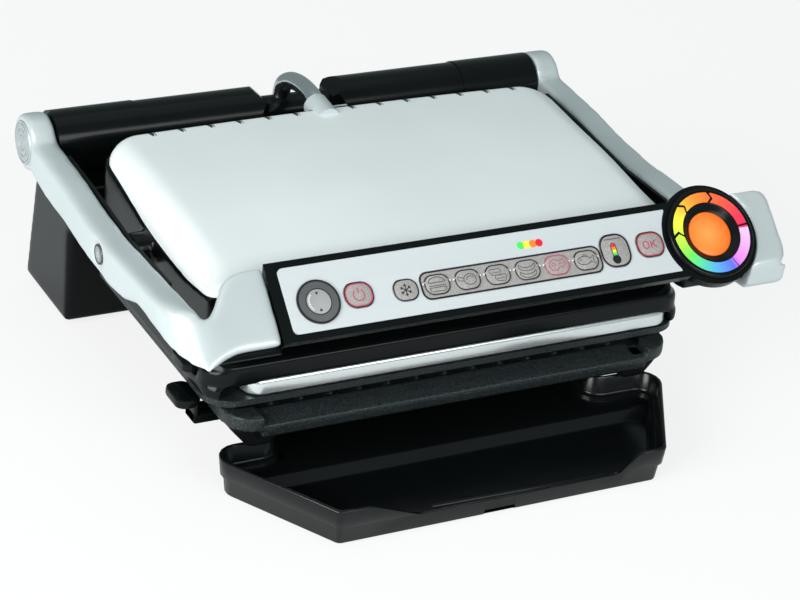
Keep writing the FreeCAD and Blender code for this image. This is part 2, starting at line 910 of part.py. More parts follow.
def tray_outline(inset):
    """Plan of the tray's wall, moved inwards by an inset, with rounded corners."""
    i = as_size(inset)
    slope_x = D.tray_shoulder_reach - D.tray_front_reach
    run = (slope_x / (D.tray_shoulder_y - D.tray_front)).value
    side_shift = i * math.sqrt(1 + run * run)
    front = D.tray_front + i
    shoulder = D.tray_shoulder_y - i
    wide = D.tray_shoulder_reach - side_shift - i * run
    narrow = D.tray_front_reach - side_shift + i * run
    tail = D.tray_tail_reach - i
    rear = D.tray_rear - i
    wide_corner, front_corner = D.tray_corner - i, D.tray_front_corner - i / 2
    throat = D.tray_throat + i
    return rounded_outline(
        [
            (-wide, shoulder, wide_corner),
            (-narrow, front, front_corner),
            (narrow, front, front_corner),
            (wide, shoulder, wide_corner),
            (tail, shoulder, throat),
            (tail, rear, front_corner),
            (-tail, rear, front_corner),
            (-tail, shoulder, throat),
        ]
    )


def loft_levels(body, kind, levels):
    """Add or remove material between tray outlines at several heights."""
    doc.recompute()
    sketches = [sketch_on(body, "XY", height, [tray_outline(inset)]) for height, inset in levels]
    feature = body.newObject(f"PartDesign::{kind}Loft", "Loft")
    feature.Profile = sketches[0]
    feature.Sections = sketches[1:]
    feature.Ruled = True
    doc.recompute()


def make_drip_tray():
    """Pull-out tray: a wide front, a narrow tail under the tub and a low pouring edge."""
    body = new_body("drip_tray", (D.tray_shift, 0, D.tray_lift))
    top, ledge, wall = D.tray_height, D.tray_ledge_z, D.tray_wall
    raised = D.tray_floor + D.tray_step
    low_inset = D.tray_ledge + 2 * D.tray_draft
    mid_inset = D.tray_ledge + D.tray_draft
    loft_levels(body, "Additive", [(as_size(0), low_inset), (ledge, mid_inset)])
    loft_levels(body, "Additive", [(ledge, D.tray_ledge), (top, 0)])
    loft_levels(body, "Subtractive", [(ledge, D.tray_ledge + wall), (top, wall)])
    deep_inset = mid_inset + wall + 0.4
    loft_levels(body, "Subtractive", [(raised, deep_inset), (ledge, mid_inset + wall)])
    edge = D.tray_front + low_inset + wall + 2
    deep = [
        (-(D.tray_front_reach + 6), D.tray_step_y),
        (-(D.tray_front_reach - 14), edge),
        (D.tray_front_reach - 14, edge),
        (D.tray_front_reach + 6, D.tray_step_y),
    ]
    pocket(body, "XY", D.tray_floor, raised + 1, [deep])
    notch = [
        (-D.spout_left_top, top),
        (-D.spout_left, D.spout_height),
        (D.spout_right, D.spout_height),
        (D.spout_right_top, top),
    ]
    pocket(body, "XZ", D.tray_front + low_inset + wall + 1, D.tray_front - 1, [notch])
    grip = rectangle(-13, 6, 0, 3)
    pocket(body, "XZ", D.tray_front + low_inset + 1.2, D.tray_front - 1, [grip])


# Lid: arms, handle and control panel


def panel_point(across, up, out=0):
    """A point given in the panel's frame, in the grill's frame."""
    up, out = as_size(up), as_size(out)
    along = D.panel_y + up * cos(D.panel_tilt) - out * sin(D.panel_tilt)
    height = D.panel_z + up * sin(D.panel_tilt) + out * cos(D.panel_tilt)
    return as_size(across), along, height


def to_panel(along, height):
    """A side-view point of the grill's frame, as up and out values of the panel's frame."""
    dy, dz = along - D.panel_y, height - D.panel_z
    turn = D.panel_tilt
    return dy * cos(turn) + dz * sin(turn), dz * cos(turn) - dy * sin(turn)


def panel_body(label):
    return new_body(label, (0, D.panel_y, D.panel_z), D.panel_tilt)


def arc_points(centre, radius, first, last, steps):
    """Points on an arc between two angles in degrees."""
    across, up = as_size(centre[0]), as_size(centre[1])
    points = []
    for step in range(steps + 1):
        angle = math.radians(first + (last - first) * step / steps)
        points.append((across + radius * math.cos(angle), up + radius * math.sin(angle)))
    return points


def rounded_loop(left, right, low, high, corner):
    """A rectangle with rounded corners, as a closed line of short steps."""
    points = arc_points((right - corner, low + corner), corner, -90, 0, 5)
    points += arc_points((right - corner, high - corner), corner, 0, 90, 5)
    points += arc_points((left + corner, high - corner), corner, 90, 180, 5)
    return points + arc_points((left + corner, low + corner), corner, 180, 270, 5)


# Side outline of an arm between the hinge and the panel: how far along, and how far above
# the line that joins the hinge axis to the panel's middle
ARM_TOP = [
    (0.065, 6.0),
    (0.212, 3.9),
    (0.276, 3.0),
    (0.401, -0.8),
    (0.558, -2.8),
    (0.687, -1.8),
    (0.816, -0.8),
]
ARM_BOTTOM = [
    (0.816, -16.5),
    (0.774, -16.6),
    (0.696, -22.7),
    (0.606, -24.9),
    (0.539, -23.9),
    (0.429, -22.9),
    (0.286, -18.9),
    (0.171, -18.2),
    (0.051, -13.1),
]


def arm_point(share, rise):
    along = D.hinge_y + share * (D.panel_y - D.hinge_y)
    height = D.hinge_z + share * (D.panel_z - D.hinge_z) + rise
    return along, height


def bore_arm(body, side, axis_hinge, axis_pivot):
    """Holes for the hinge pin and the pivot pin, with their outer recesses."""
    inner = D.arm_reach - D.arm_width
    depth = D.arm_reach - D.hinge_cap_depth - 1
    head = D.arm_reach - D.pivot_head_depth

    def both(start, end, centre, radius):
        ends = (start, end) if side > 0 else (-end, -start)
        pocket(body, "YZ", ends[0], ends[1], circles=[(centre, radius)])

    both(inner, depth, axis_hinge, D.hinge_pin_radius + D.running_fit)
    cap = D.arm_reach - D.hinge_cap_depth
    both(cap, D.arm_reach, axis_hinge, D.hinge_cap_radius + D.running_fit)
    both(inner, head, axis_pivot, D.pivot_radius + D.running_fit)
    both(head, D.arm_reach, axis_pivot, D.pivot_head_radius + D.running_fit)


def make_left_arm():
    """Left arm in one piece with the rounded corner that ends the handle."""
    body = panel_body("left_arm")
    outer, inner = -D.arm_reach, -(D.arm_reach - D.arm_width)
    low, step = -D.corner_drop, D.panel_half_height
    top = [to_panel(*arm_point(*pair)) for pair in ARM_TOP]
    bottom = [to_panel(*arm_point(*pair)) for pair in ARM_BOTTOM]
    front = [(as_size(1.4), as_size(0)), (low + 4, as_size(0)), (low, as_size(-1.5))]
    under = [to_panel(*arm_point(0.995, -19.0))]
    pad(body, "YZ", outer, inner, [top + front + under + bottom])
    axis = to_panel(D.hinge_y, D.hinge_z)
    pad(body, "YZ", outer, inner, circles=[(axis, D.barrel_radius)])
    deep = D.frame_thickness
    section = [
        (step, as_size(0)),
        (low + 4, as_size(0)),
        (low, as_size(-1.5)),
        (low + 2, -deep),
        (step - deep * tan(D.panel_tilt), -deep),
    ]
    pad(body, "YZ", inner, -D.panel_left, [section])
    root = inner + 0.01
    above = [
        (inner, step + 4),
        (inner, -3),
        (root + 4, -1),
        (root + 8, 4),
        (root + 11, 9),
        (root + 14, 14.5),
        (root + 19, 18.8),
        (root + 26, 21),
        (-D.panel_left - 4, step),
        (-D.panel_left - 4, step + 4),
    ]
    pocket(body, "XY", -60, 1, [above])
    below = [
        (-D.panel_left + 1, -step - 14),
        (-D.panel_left + 1, -step),
        (-(D.panel_left + 24), -step),
        (-(D.panel_left + 32), -(step + 2.4)),
        (-(D.panel_left + 38), -(step + 5.4)),
        (-(D.panel_left + 43), low),
        (-(D.panel_left + 43), -step - 14),
    ]
    pocket(body, "XY", -60, 1, [below])
    bend = D.corner_radius
    curve = arc_points((outer + bend, -bend), bend, 90, 180, 9)
    corner = curve + [(outer - 1, -bend), (outer - 1, as_size(1)), (outer + bend, as_size(1))]
    pocket(body, "XZ", low - 1, step, [corner])
    bore_arm(body, -1, axis, to_panel(D.pivot_y, D.pivot_z))


def make_right_arm():
    """Right arm, which ends behind the handle."""
    body = new_body("right_arm")
    outer, inner = D.arm_reach, D.arm_reach - D.arm_width
    rear = D.panel_y + D.panel_half_height * cos(D.panel_tilt)
    top = [arm_point(*pair) for pair in ARM_TOP]
    bottom = [arm_point(*pair) for pair in ARM_BOTTOM]
    front = [(rear, D.panel_z - 0.5), (rear, D.panel_z - 18)]
    pad(body, "YZ", inner, outer, [top + front + bottom])
    axis = (D.hinge_y, D.hinge_z)
    pad(body, "YZ", inner, outer, circles=[(axis, D.barrel_radius)])
    bore_arm(body, 1, axis, (D.pivot_y, D.pivot_z))


def make_arm_trim():
    """Inner liners, hinge caps and pivot pins of both arms."""
    for side, name in ((-1, "left"), (1, "right")):
        body = new_body(f"arm_liner_{name}")
        inner = D.arm_reach - D.arm_width
        face = inner - D.liner_thickness
        ends = (face, inner) if side > 0 else (-inner, -face)
        shape = [(0.13, 2.5), (0.3, 0.5), (0.56, -5), (0.8, -4), (0.8, -14), (0.6, -22), (0.3, -16)]
        outline = [arm_point(*pair) for pair in shape + [(0.13, -12)]]
        pad(body, "YZ", ends[0], ends[1], [outline])
        hole = D.pivot_radius + D.side_gap
        pocket(body, "YZ", ends[0], ends[1], circles=[((D.pivot_y, D.pivot_z), hole)])
        cap = D.arm_reach - D.hinge_cap_depth
        start = cap if side > 0 else -D.arm_reach
        spot = (start, D.hinge_y, D.hinge_z)
        keep(cylinder(f"hinge_cap_{name}", spot, D.hinge_cap_radius, D.hinge_cap_depth))
        head = D.arm_reach - D.pivot_head_depth
        tip = D.press_reach + 2
        pin = new_body(f"pivot_pin_{name}")
        centre = (D.pivot_y, D.pivot_z)
        ends = (tip, head) if side > 0 else (-head, -tip)
        pad(pin, "YZ", ends[0], ends[1], circles=[(centre, D.pivot_radius)])
        ends = (head, head + D.pivot_head_depth - 0.6) if side > 0 else (-D.arm_reach + 0.6, -head)
        pad(pin, "YZ", ends[0], ends[1], circles=[(centre, D.pivot_head_radius)])


def print_spot(across):
    """A place along the printed layout, which follows the length of the control plate."""
    middle = (D.control_right - D.control_left) / 2
    return middle + (across - D.print_middle) * D.print_scale


def button_table():
    """Name, place and size of every push button on the panel."""
    table = [
        ("power_button", D.power_x, D.power_v, D.power_width, D.power_height),
        ("frozen_button", D.frozen_x, D.frozen_v, D.frozen_width, D.frozen_height),
    ]
    for index in range(PROGRAMS):
        across = D.program_x + index * D.program_pitch
        name = f"program_button_{index + 1}"
        table.append((name, across, D.strip_v, D.program_width, D.program_height))
    across, up = D.temperature_x, D.temperature_v
    size = (D.temperature_width, D.temperature_height)
    table.append(("temperature_button", across, up, size[0], size[1]))
    table.append(("confirm_button", D.confirm_x, D.confirm_v, D.confirm_width, D.confirm_height))
    return [
        (name, print_spot(across), up, width * D.print_scale, height)
        for name, across, up, width, height in table
    ]


def button_loops(grow, only="button"):
    """Outlines of the buttons, made larger all round."""
    loops = []
    for name, across, up, width, height in button_table():
        if only in name:
            side, rise = width / 2 + grow, height / 2 + grow
            loops.append(rectangle(across - side, across + side, up - rise, up + rise))
    return loops


def hole_edges(first, last):
    """Test for the upright edges of the button holes, which all lie clear of the outline."""
    inside = abs(first.y) < D.temperature_height.value / 2 + 1
    return upright(first, last) and inside and first.x < (D.control_right - 5).value


def panel_screw_spots():
    return [(print_spot(across), -14.4) for across in (-98, -50, 20, 112)]


def make_panel_frame():
    """Black bezel strip with the seat of the dial, the plate's recess and the button holes."""
    body = panel_body("panel_frame")
    step, deep = D.panel_half_height, D.frame_thickness
    section = [
        (step, 0),
        (-step, 0),
        (-step, -deep),
        (step - deep * tan(D.panel_tilt), -deep),
    ]
    pad(body, "YZ", -D.panel_left, D.dial_x + 18, [section])
    sink = D.control_thickness
    up = D.control_half_height
    pocket(body, "XY", -sink, 0, [rectangle(-D.control_left, D.control_right, -up, up)])
    pad(body, "XY", -deep, 0, circles=[((D.dial_x, 0), D.dial_seat_radius)])
    pocket(body, "XY", -3.5, 0, circles=[((D.dial_x, 0), D.dome_radius - 1)])
    pocket(body, "XY", -deep, -sink, button_loops(D.button_fit))
    fillet(body, D.button_corner, lambda a, b: hole_edges(a, b) and abs(a.z + b.z) > 7)
    holes = [(spot, D.screw_radius + D.running_fit) for spot in panel_screw_spots()]
    pocket(body, "XY", -deep, -sink, circles=holes)
    heads = [(spot, D.panel_screw_head) for spot in panel_screw_spots()]
    pocket(body, "XY", -sink - 1.8, -sink, circles=heads)


def make_handle_shell():
    """Body of the handle behind and below the bezel strip."""
    body = panel_body("handle_shell")
    step, deep = D.panel_half_height, D.frame_thickness
    rear = D.panel_y + step * cos(D.panel_tilt)
    floor = D.handle_floor_z
    upper = (step - deep * tan(D.panel_tilt), -deep)
    section = [upper, (-step, -deep), to_panel(D.panel_y + 3, floor), to_panel(rear, floor)]
    pad(body, "YZ", -D.panel_left, D.end_cap_start, [section])
    low = -D.corner_drop
    behind = [(-4, -deep), (low + 4, -deep), to_panel(D.panel_y - 12, floor)]
    behind += [to_panel(D.panel_y + 3, floor)]
    pad(body, "YZ", -D.arm_inner, -D.panel_left, [behind])
    under = [
        upper,
        (-step, -deep),
        to_panel(D.panel_y - 10, D.dial_floor_z + 2),
        to_panel(D.panel_y + 8, D.dial_floor_z),
        to_panel(rear, D.dial_floor_z + 2),
    ]
    pad(body, "YZ", D.end_cap_start - 40, D.end_cap_start, [under])
    pad(body, "XY", -deep - 5, -deep, circles=[((D.dial_x - 1, -6), D.dial_seat_radius - 10)])
    cavity = rectangle(-D.control_left + 2, D.control_right - 6, -10.8, 8)
    pocket(body, "XY", -deep - 6, -deep, [cavity])
    holes = [(spot, D.screw_radius + D.running_fit) for spot in panel_screw_spots()]
    pocket(body, "XY", -11.2, -deep, circles=holes)


def make_end_cap():
    """Silver right end of the handle, cut round the dial."""
    body = panel_body("end_cap")
    step = D.panel_half_height
    rear = D.panel_y + step * cos(D.panel_tilt)
    end = D.arm_reach + D.handle_overhang
    section = [
        (step, as_size(0)),
        (-step, as_size(0)),
        to_panel(D.panel_y - 14, D.cap_floor_z + 4),
        to_panel(D.panel_y - 10, D.cap_floor_z),
        to_panel(D.panel_y + 8, D.cap_floor_z - 2),
        to_panel(rear, D.cap_floor_z),
    ]
    pad(body, "YZ", D.end_cap_start, end, [section])
    radius = D.end_corner
    for sign, depth in ((-1, -12), (1, -30)):
        centre = (end - radius, sign * (step - radius))
        curve = arc_points(centre, radius, 0, sign * 90, 6)
        edge = sign * (step + 1)
        corner = curve + [(end - radius, edge), (end + 1, edge), (end + 1, centre[1])]
        pocket(body, "XY", depth, 1, [corner])
    seat = D.dial_seat_radius + 0.2
    pocket(body, "XY", -D.frame_thickness, 0, circles=[((D.dial_x, 0), seat)])


def make_control_plate():
    """Thin metal plate that carries the print, with a hole for every button."""
    body = panel_body("control_plate")
    up = D.control_half_height - D.running_fit
    left, right = -D.control_left + D.running_fit, D.control_right
    sink = D.control_thickness
    pad(body, "XY", -sink, 0, [rectangle(left, right, -up, up)])
    corner = left.value + 0.1
    fillet(body, D.control_corner, lambda a, b: upright(a, b) and a.x < corner)
    round_cut = D.dial_seat_radius + 0.1
    pocket(body, "XY", -sink, 0, circles=[((D.dial_x, 0), round_cut)])
    pocket(body, "XY", -sink, 0, button_loops(D.button_fit))
    fillet(body, D.button_corner, hole_edges)


def make_panel_trim():
    """Program strip, round emblem and screws of the panel."""
    strip = panel_body("program_strip")
    side, up = D.strip_length / 2, D.strip_height / 2
    side = side * D.print_scale
    middle = print_spot(D.strip_x)
    outline = rectangle(middle - side, middle + side, D.strip_v - up, D.strip_v + up)
    pad(strip, "XY", 0, D.strip_rise, [outline])
    fillet(strip, D.strip_corner, upright)
    pocket(strip, "XY", 0, D.strip_rise, button_loops(D.button_fit, "program"))
    near = ((D.program_height + 1) / 2).value
    fillet(
        strip,
        D.button_corner,
        lambda a, b: upright(a, b) and abs(a.y - D.strip_v.value) < near,
    )
    emblem = panel_body("emblem_disc")
    centre = (print_spot(D.emblem_x), D.emblem_v)
    pad(emblem, "XY", 0, D.emblem_rise, circles=[(centre, D.emblem_radius)])
    top = -D.control_thickness
    screws = []
    for number, spot in enumerate(panel_screw_spots(), start=1):
        head = panel_cylinder(f"panel_screw_head_{number}", spot, top - 1.6, D.panel_screw_head - 0.2, 1.4)
        shank = panel_cylinder(f"panel_screw_shank_{number}", spot, -10.8, D.screw_radius, 8.2)
        screws.append(fuse(f"panel_screw_{number}", [head, shank]))
    group = doc.addObject("Part::Compound", "panel_screws")
    group.Label = "panel_screws"
    group.Links = screws
    keep(group)


def panel_cylinder(label, spot, start, radius, length):
    """A cylinder that stands on the panel's plane."""
    item = doc.addObject("Part::Cylinder", label)
    item.Label = label
    item.setExpression("Radius", as_size(radius).text)
    item.setExpression("Height", as_size(length).text)
    place(item, panel_point(spot[0], spot[1], start), D.panel_tilt)
    return item


def make_dial():
    """Raised bezel, coloured ring, glowing dome at the bottom of a cone, and its lamp board."""
    centre = (D.dial_x, as_size(0))
    bezel = panel_body("indicator_bezel")
    rise = D.dial_rise
    pad(bezel, "XY", 0, rise, circles=[(centre, D.dial_radius)])
    groove = D.ring_outer + D.running_fit
    pocket(bezel, "XY", rise - D.ring_thickness, rise, circles=[(centre, groove)])
    pad(bezel, "XY", rise - D.ring_thickness, rise, circles=[(centre, D.ring_inner - D.running_fit)])
    bore = D.dome_radius + D.running_fit
    pocket(bezel, "XY", 0, rise, circles=[(centre, bore)])
    cone = bezel.newObject("PartDesign::SubtractiveCone", "cone")
    bind(cone, "Radius1", bore)
    bind(cone, "Radius2", D.ring_inner - D.cone_margin)
    bind(cone, "Height", rise)
    bind(cone, "Placement.Base.x", D.dial_x)
    ring = panel_body("color_ring")
    pad(ring, "XY", rise - D.ring_thickness, rise, circles=[(centre, D.ring_outer)])
    pocket(ring, "XY", rise - D.ring_thickness, rise, circles=[(centre, D.ring_inner)])
    board = panel_body("indicator_led_board")
    pad(board, "XY", -3.5, -1.9, circles=[(centre, D.dome_radius - 2.5)])
    lamps = [((D.dial_x + shift, as_size(0)), 1.2) for shift in (-6, 0, 6)]
    pad(board, "XY", -1.9, -1.1, circles=lamps)
    bulge = (D.dome_radius * D.dome_radius + D.dome_rise * D.dome_rise) / (2 * D.dome_rise)
    sphere = doc.addObject("Part::Sphere", "dome_cap")
    sphere.setExpression("Radius", bulge.text)
    sphere.setExpression("Angle1", f"asin({((bulge - D.dome_rise) / bulge).text})")
    top = D.dome_base + D.dome_rise
    place(sphere, panel_point(D.dial_x, 0, top - bulge), D.panel_tilt)
    skirt = panel_cylinder("dome_skirt", centre, 0, D.dome_radius, D.dome_base)
    keep(fuse("indicator_dome", [sphere, skirt]))


def make_buttons():
    """Push buttons, each a separate moving piece that stands just proud of the plate."""
    for name, across, up, width, height in button_table():
        body = panel_body(name)
        side, rise = width / 2, height / 2
        top = D.button_rise + (D.strip_rise if "program" in name else 0)
        outline = rectangle(across - side, across + side, up - rise, up + rise)
        pad(body, "XY", -D.button_depth, top, [outline])
        fillet(body, D.button_corner, upright)


def make_control_board():
    """Circuit board behind the buttons, with a small switch under each."""
    body = panel_body("control_board")
    level = -D.frame_thickness - 6
    outline = rectangle(-D.control_left + 3, D.control_right - 7, -10, 7.4)
    pad(body, "XY", level, level + D.board_thickness, [outline])
    switches = [((across, up), 2.4) for _, across, up, _, _ in button_table()]
    top = -D.button_depth - D.button_travel - 0.15
    pad(body, "XY", level + D.board_thickness, top, circles=switches)


# Floating upper assembly

# Line between the black housing and the steel cover: place along, and height above the
# pivot, from rear to front, as drawn on a housing 156 deep
COVER_EDGE = [
    (80.0, 20.3),
    (61.0, 19.6),
    (40.0, 16.0),
    (10.0, 9.5),
    (-18.0, 6.7),
    (-45.0, 6.0),
    (-61.0, 7.6),
    (-78.5, 10.0),
]

# Top of the cover at its sides, in the same way, from front to rear
COVER_TOP = [
    (-78.5, 16.0),
    (-50.0, 21.0),
    (-30.0, 24.0),
    (-10.0, 26.5),
    (15.0, 28.5),
    (45.0, 30.3),
    (73.0, 30.8),
]


def cover_spot(along, rise):
    """A place on the side view of the housing, which follows the housing's depth."""
    scale = D.press_scale
    return D.press_waist_y + (along + 77) * scale, D.pivot_z + rise * scale


def edge_line(inset=0):
    """The housing's top line in the side view."""
    spots = [cover_spot(along, rise) for along, rise in COVER_EDGE]
    return [(along, height - inset) for along, height in spots]


def edge_height(line, along):
    """Height of the top line at one place along the side view."""
    for first, second in zip(line, line[1:]):
        if second[0].value <= along.value <= first[0].value + 1e-6:
            share = (along - second[0]) / (first[0] - second[0])
            return second[1] + (first[1] - second[1]) * share
    return line[-1][1]


def make_upper_housing():
    """Black hollow housing that hangs between the arms on the two pivot pins."""
    body = new_body("upper_housing")
    floor = D.band_top_z
    reach = D.press_reach
    line = edge_line()
    rear, waist = D.press_rear, D.press_waist_y
    top = [(rear, edge_height(line, rear))] + line[1:-1] + [(waist, edge_height(line, waist))]
    toe = [(waist, D.press_toe_top), (D.press_front, D.press_toe_top - 2), (D.press_front, floor)]
    pad(body, "YZ", -reach, reach, [top + toe + [(rear, floor)]])
    front, back = D.press_front.value + 0.1, rear.value - 0.1
    fillet(body, D.press_corner, lambda a, b: upright(a, b) and a.y < front)
    fillet(body, D.press_corner, lambda a, b: upright(a, b) and a.y > back)
    wide = reach + D.skirt_width
    skirt = rounded_loop(-wide, wide, D.press_front, D.press_rear, D.press_corner)
    pad(body, "XY", floor, D.skirt_top_z, [skirt])
    side, near = wide - 8, D.press_front
    for sign in (-1, 1):
        rim = [(side, D.press_rear), (wide, D.press_rear), (wide, near + 10)]
        rim += [(wide - 1, near + 6), (wide - 4, near + 2), (side, near)]
        rim = [(sign * across, along) for across, along in rim]
        pad(body, "XY", D.skirt_low_z, floor, [rim])
    inside = reach - D.wall
    line = edge_line(D.wall.value)
    rear, waist = D.press_rear - D.wall, D.press_waist_y + D.wall
    top = [(rear, edge_height(line, rear))] + line[1:-1] + [(waist, edge_height(line, waist))]
    low = D.press_toe_top - 2 - D.wall
    toe = [(waist, low), (D.press_front + D.wall + 8, low), (D.press_front + D.wall + 8, floor)]
    pocket(body, "YZ", -inside, inside, [top + toe + [(rear, floor)]])
    centre = (D.pivot_y, D.pivot_z)
    boss = D.arm_reach - D.arm_width - D.liner_thickness - D.side_gap
    bore = D.pivot_radius + D.running_fit
    inside = reach - D.wall
    for side in (-1, 1):
        ends = (reach, boss) if side > 0 else (-boss, -reach)
        pad(body, "YZ", ends[0], ends[1], circles=[(centre, D.pivot_boss_radius)])
        ends = (inside, boss) if side > 0 else (-boss, -inside)
        pocket(body, "YZ", ends[0], ends[1], circles=[(centre, bore)])
    half = D.lever_width / 2 + D.side_gap
    slot = rectangle(
        D.lever_y - half,
        D.lever_y + half,
        D.upper_lever_z - D.lever_height - D.side_gap,
        D.upper_lever_z + D.side_gap,
    )
    pocket(body, "YZ", -wide, -inside, [slot])


def cover_wire(along, top, half, roll, low):
    """One cross-section of the cover: side walls, rolled edges and a slightly raised middle."""
    crown = D.cover_crown.value
    bend = roll * (1 - math.sqrt(0.5))

    def at(across, height):
        return Vector(across, along, height)

    edges = [
        Part.LineSegment(at(-half, low), at(-half, top - roll)).toShape(),
        Part.Arc(
            at(-half, top - roll), at(-half + bend, top - bend), at(-half + roll, top)
        ).toShape(),
        Part.Arc(at(-half + roll, top), at(0, top + crown), at(half - roll, top)).toShape(),
        Part.Arc(at(half - roll, top), at(half - bend, top - bend), at(half, top - roll)).toShape(),
        Part.LineSegment(at(half, top - roll), at(half, low)).toShape(),
        Part.LineSegment(at(half, low), at(-half, low)).toShape(),
    ]
    return Part.Wire(edges)


def cover_block(inset):
    """Solid under the cover's outer face, or under its inner face when inset."""
    roll = D.cover_roll.value - inset
    half = D.press_reach.value - inset
    low = D.pivot_z.value - 6
    spots = [cover_spot(along, rise) for along, rise in COVER_TOP]
    spots = [(along.value, height.value) for along, height in spots]
    wires = []
    for index, (along, height) in enumerate(spots):
        spot = along + (inset if index == 0 else 0)
        wires.append(cover_wire(spot, height - inset, half, roll, low))
    last, height = spots[-1]
    corner = D.cover_plan_corner.value
    rear_roll = D.cover_rear_roll.value - inset
    for angle in (20, 40, 58):
        turn = math.radians(angle)
        spot = last + rear_roll * math.sin(turn)
        top = height - inset - rear_roll * (1 - math.cos(turn))
        narrow = half - corner * (1 - math.cos(turn)) * 0.6
        wires.append(cover_wire(spot, top, narrow, roll, low))
    return Part.makeLoft(wires, True, True)


def below_edge():
    """Solid below the line between housing and cover, used to trim the cover."""
    line = [(along.value, height.value) for along, height in edge_line()]
    reach = 2 * D.press_reach.value
    first, last = line[0], line[-1]
    outline = [(first[0] + 40, first[1]), *line, (last[0] - 40, last[1])]
    outline += [(last[0] - 40, 0), (first[0] + 40, 0)]
    points = [Vector(-reach, along, height) for along, height in outline]
    face = Part.Face(Part.makePolygon(points + [points[0]]))
    return face.extrude(Vector(2 * reach, 0, 0))


def make_top_cover():
    """Sheet steel cover with a row of vents along its rolled rear edge."""
    shell = cover_block(0).cut(cover_block(D.cover_thickness.value)).cut(below_edge())
    width, pitch = D.louvre_width.value, D.louvre_pitch.value
    count = int(D.louvre_count.value)
    rear = D.press_rear.value
    height = D.pivot_z.value
    slots = []
    for index in range(count):
        middle = (index - (count - 1) / 2) * pitch
        if abs(middle - D.conduit_x.value) < pitch / 2:
            continue
        corner = Vector(middle - width / 2, rear - 13, height + 21)
        slots.append(Part.makeBox(width, 8, 12, corner))
    free_shape("top_cover", shell.cut(Part.makeCompound(slots)))


def conduit_solid():
    """Stiff sleeve that leads the wires from the hinge gap to the upper housing."""
    across, along = D.conduit_x.value, D.hinge_y.value
    height = D.hinge_z.value
    rear = D.press_rear.value
    points = [
        Vector(across - 6, along + 1, height + 13.2),
        Vector(across - 4.5, along, height + 18.5),
        Vector(across - 1, along - 5, height + 22),
        Vector(across + 1.5, along - 15, height + 22.6),
        Vector(across + 2, rear + 12, height + 21),
        Vector(across + 1, rear + 1, height + 16.5),
        Vector(across, rear - 6, height + 12.5),
    ]
    curve = Part.BSplineCurve()
    curve.interpolate(points)
    path = Part.Wire([curve.toShape()])
    heading = curve.tangent(curve.FirstParameter)[0]
    ring = Part.Wire([Part.Circle(points[0], heading, D.conduit_radius.value).toShape()])
    return path.makePipeShell([ring], True, True)


def make_conduit():
    """Conduit and the silver boss that clamps it to the cover."""
    block, pipe = cover_block(0), conduit_solid()
    outer = pipe.cut(block)
    free_shape("conduit", max(outer.Solids, key=lambda solid: solid.Volume))
    radius = D.conduit_radius.value + 3
    base = Vector(D.conduit_x.value + 1, D.press_rear.value - 12, D.hinge_z.value + 16)
    bulk = Part.makeCylinder(radius, 17, base, Vector(0, 1, 0.12))
    side = Part.makeBox(15, 9, 9, Vector(D.conduit_x.value + 2, base.y + 1, base.z - 5.5))
    boss = bulk.fuse(side).cut(block).cut(pipe)
    free_shape("conduit_boss", max(boss.Solids, key=lambda solid: solid.Volume))


def make_steel_band():
    """Bright band round the foot of the upper housing."""
    body = new_body("steel_band")
    left, right = D.band_shift - D.band_reach, D.band_shift + D.band_reach
    front, rear = D.press_front - 1, D.press_rear - 2
    low, corner = D.band_top_z - D.band_height, D.band_corner
    rounded_box(body, left, right, front, rear, low, D.band_top_z, corner)
    thick = D.band_thickness
    sides = (left + thick, right - thick, front + thick, rear - thick)
    pocket(body, "XY", low, D.band_top_z, [rounded_loop(*sides, corner - thick)])


def make_upper_plate():
    """Cast upper plate, whose ribs stand between those of the lower plate."""
    body = new_body("upper_plate")
    top = D.band_top_z - D.band_height
    low = top - D.rim_thickness
    rear = D.press_rear - 1
    front = D.press_front - 1.5
    reach = D.press_reach + 2
    rounded_box(body, -reach, reach, front, rear, low, top, D.plate_corner)
    slab = D.band_reach - D.band_shift - D.band_thickness - 3
    inner_front, inner_rear = front + D.band_thickness + 11, rear - 9
    outline = [rectangle(-slab, slab, inner_front, inner_rear)]
    pad(body, "XY", top - 1, top + D.plate_floor, outline)
    ribs = []
    count = int(D.rib_count.value) - 1
    for index in range(count):
        middle = (index - (count - 1) / 2) * D.rib_pitch
        left, right = middle - D.rib_width / 2, middle + D.rib_width / 2
        ribs.append(rectangle(left, right, D.plate_front + 20, D.plate_rear - 14))
    pad(body, "XY", low - D.rib_height, low + 0.5, ribs)


def make_upper_heater():
    """Heating bar above the upper plate and the reflector that carries it."""
    level = D.band_top_z - D.band_height + D.plate_floor + D.side_gap + D.element_radius
    front, back = D.press_waist_y + 16, D.press_rear - 12
    body = new_body("upper_reflector")
    inside = D.press_reach - D.wall - D.side_gap
    height = level + D.element_radius + 8
    ends = (D.press_waist_y + D.wall + D.side_gap, D.press_rear - D.wall - D.side_gap)
    lever = D.lever_travel + 16
    pad(body, "XY", height, height + 1.2, [rectangle(-inside + lever, inside, ends[0], ends[1])])
    posts = D.press_reach - 29
    spots = [((side * posts, along), 4) for side in (-1, 1) for along in (-44, -20)]
    pad(body, "XY", height + 1, edge_height(edge_line(D.wall.value), as_size(-44.9)), circles=spots)
    brackets = [((side * D.element_reach, along), 2) for side in (-1, 1) for along in (-40, -24)]
    pad(body, "XY", level + D.element_radius, height, circles=brackets)
    bar = element_bar(level.value, front.value, back.value)
    free_shape("upper_element", bar)


def make_upper_lever():
    """Tongue of the upper plate's catch, which stands out of the housing's side."""
    height, reach = D.lever_height, D.upper_lever_reach
    make_release_lever("upper_release_lever", D.upper_lever_z, height, reach, D.press_reach - 14)


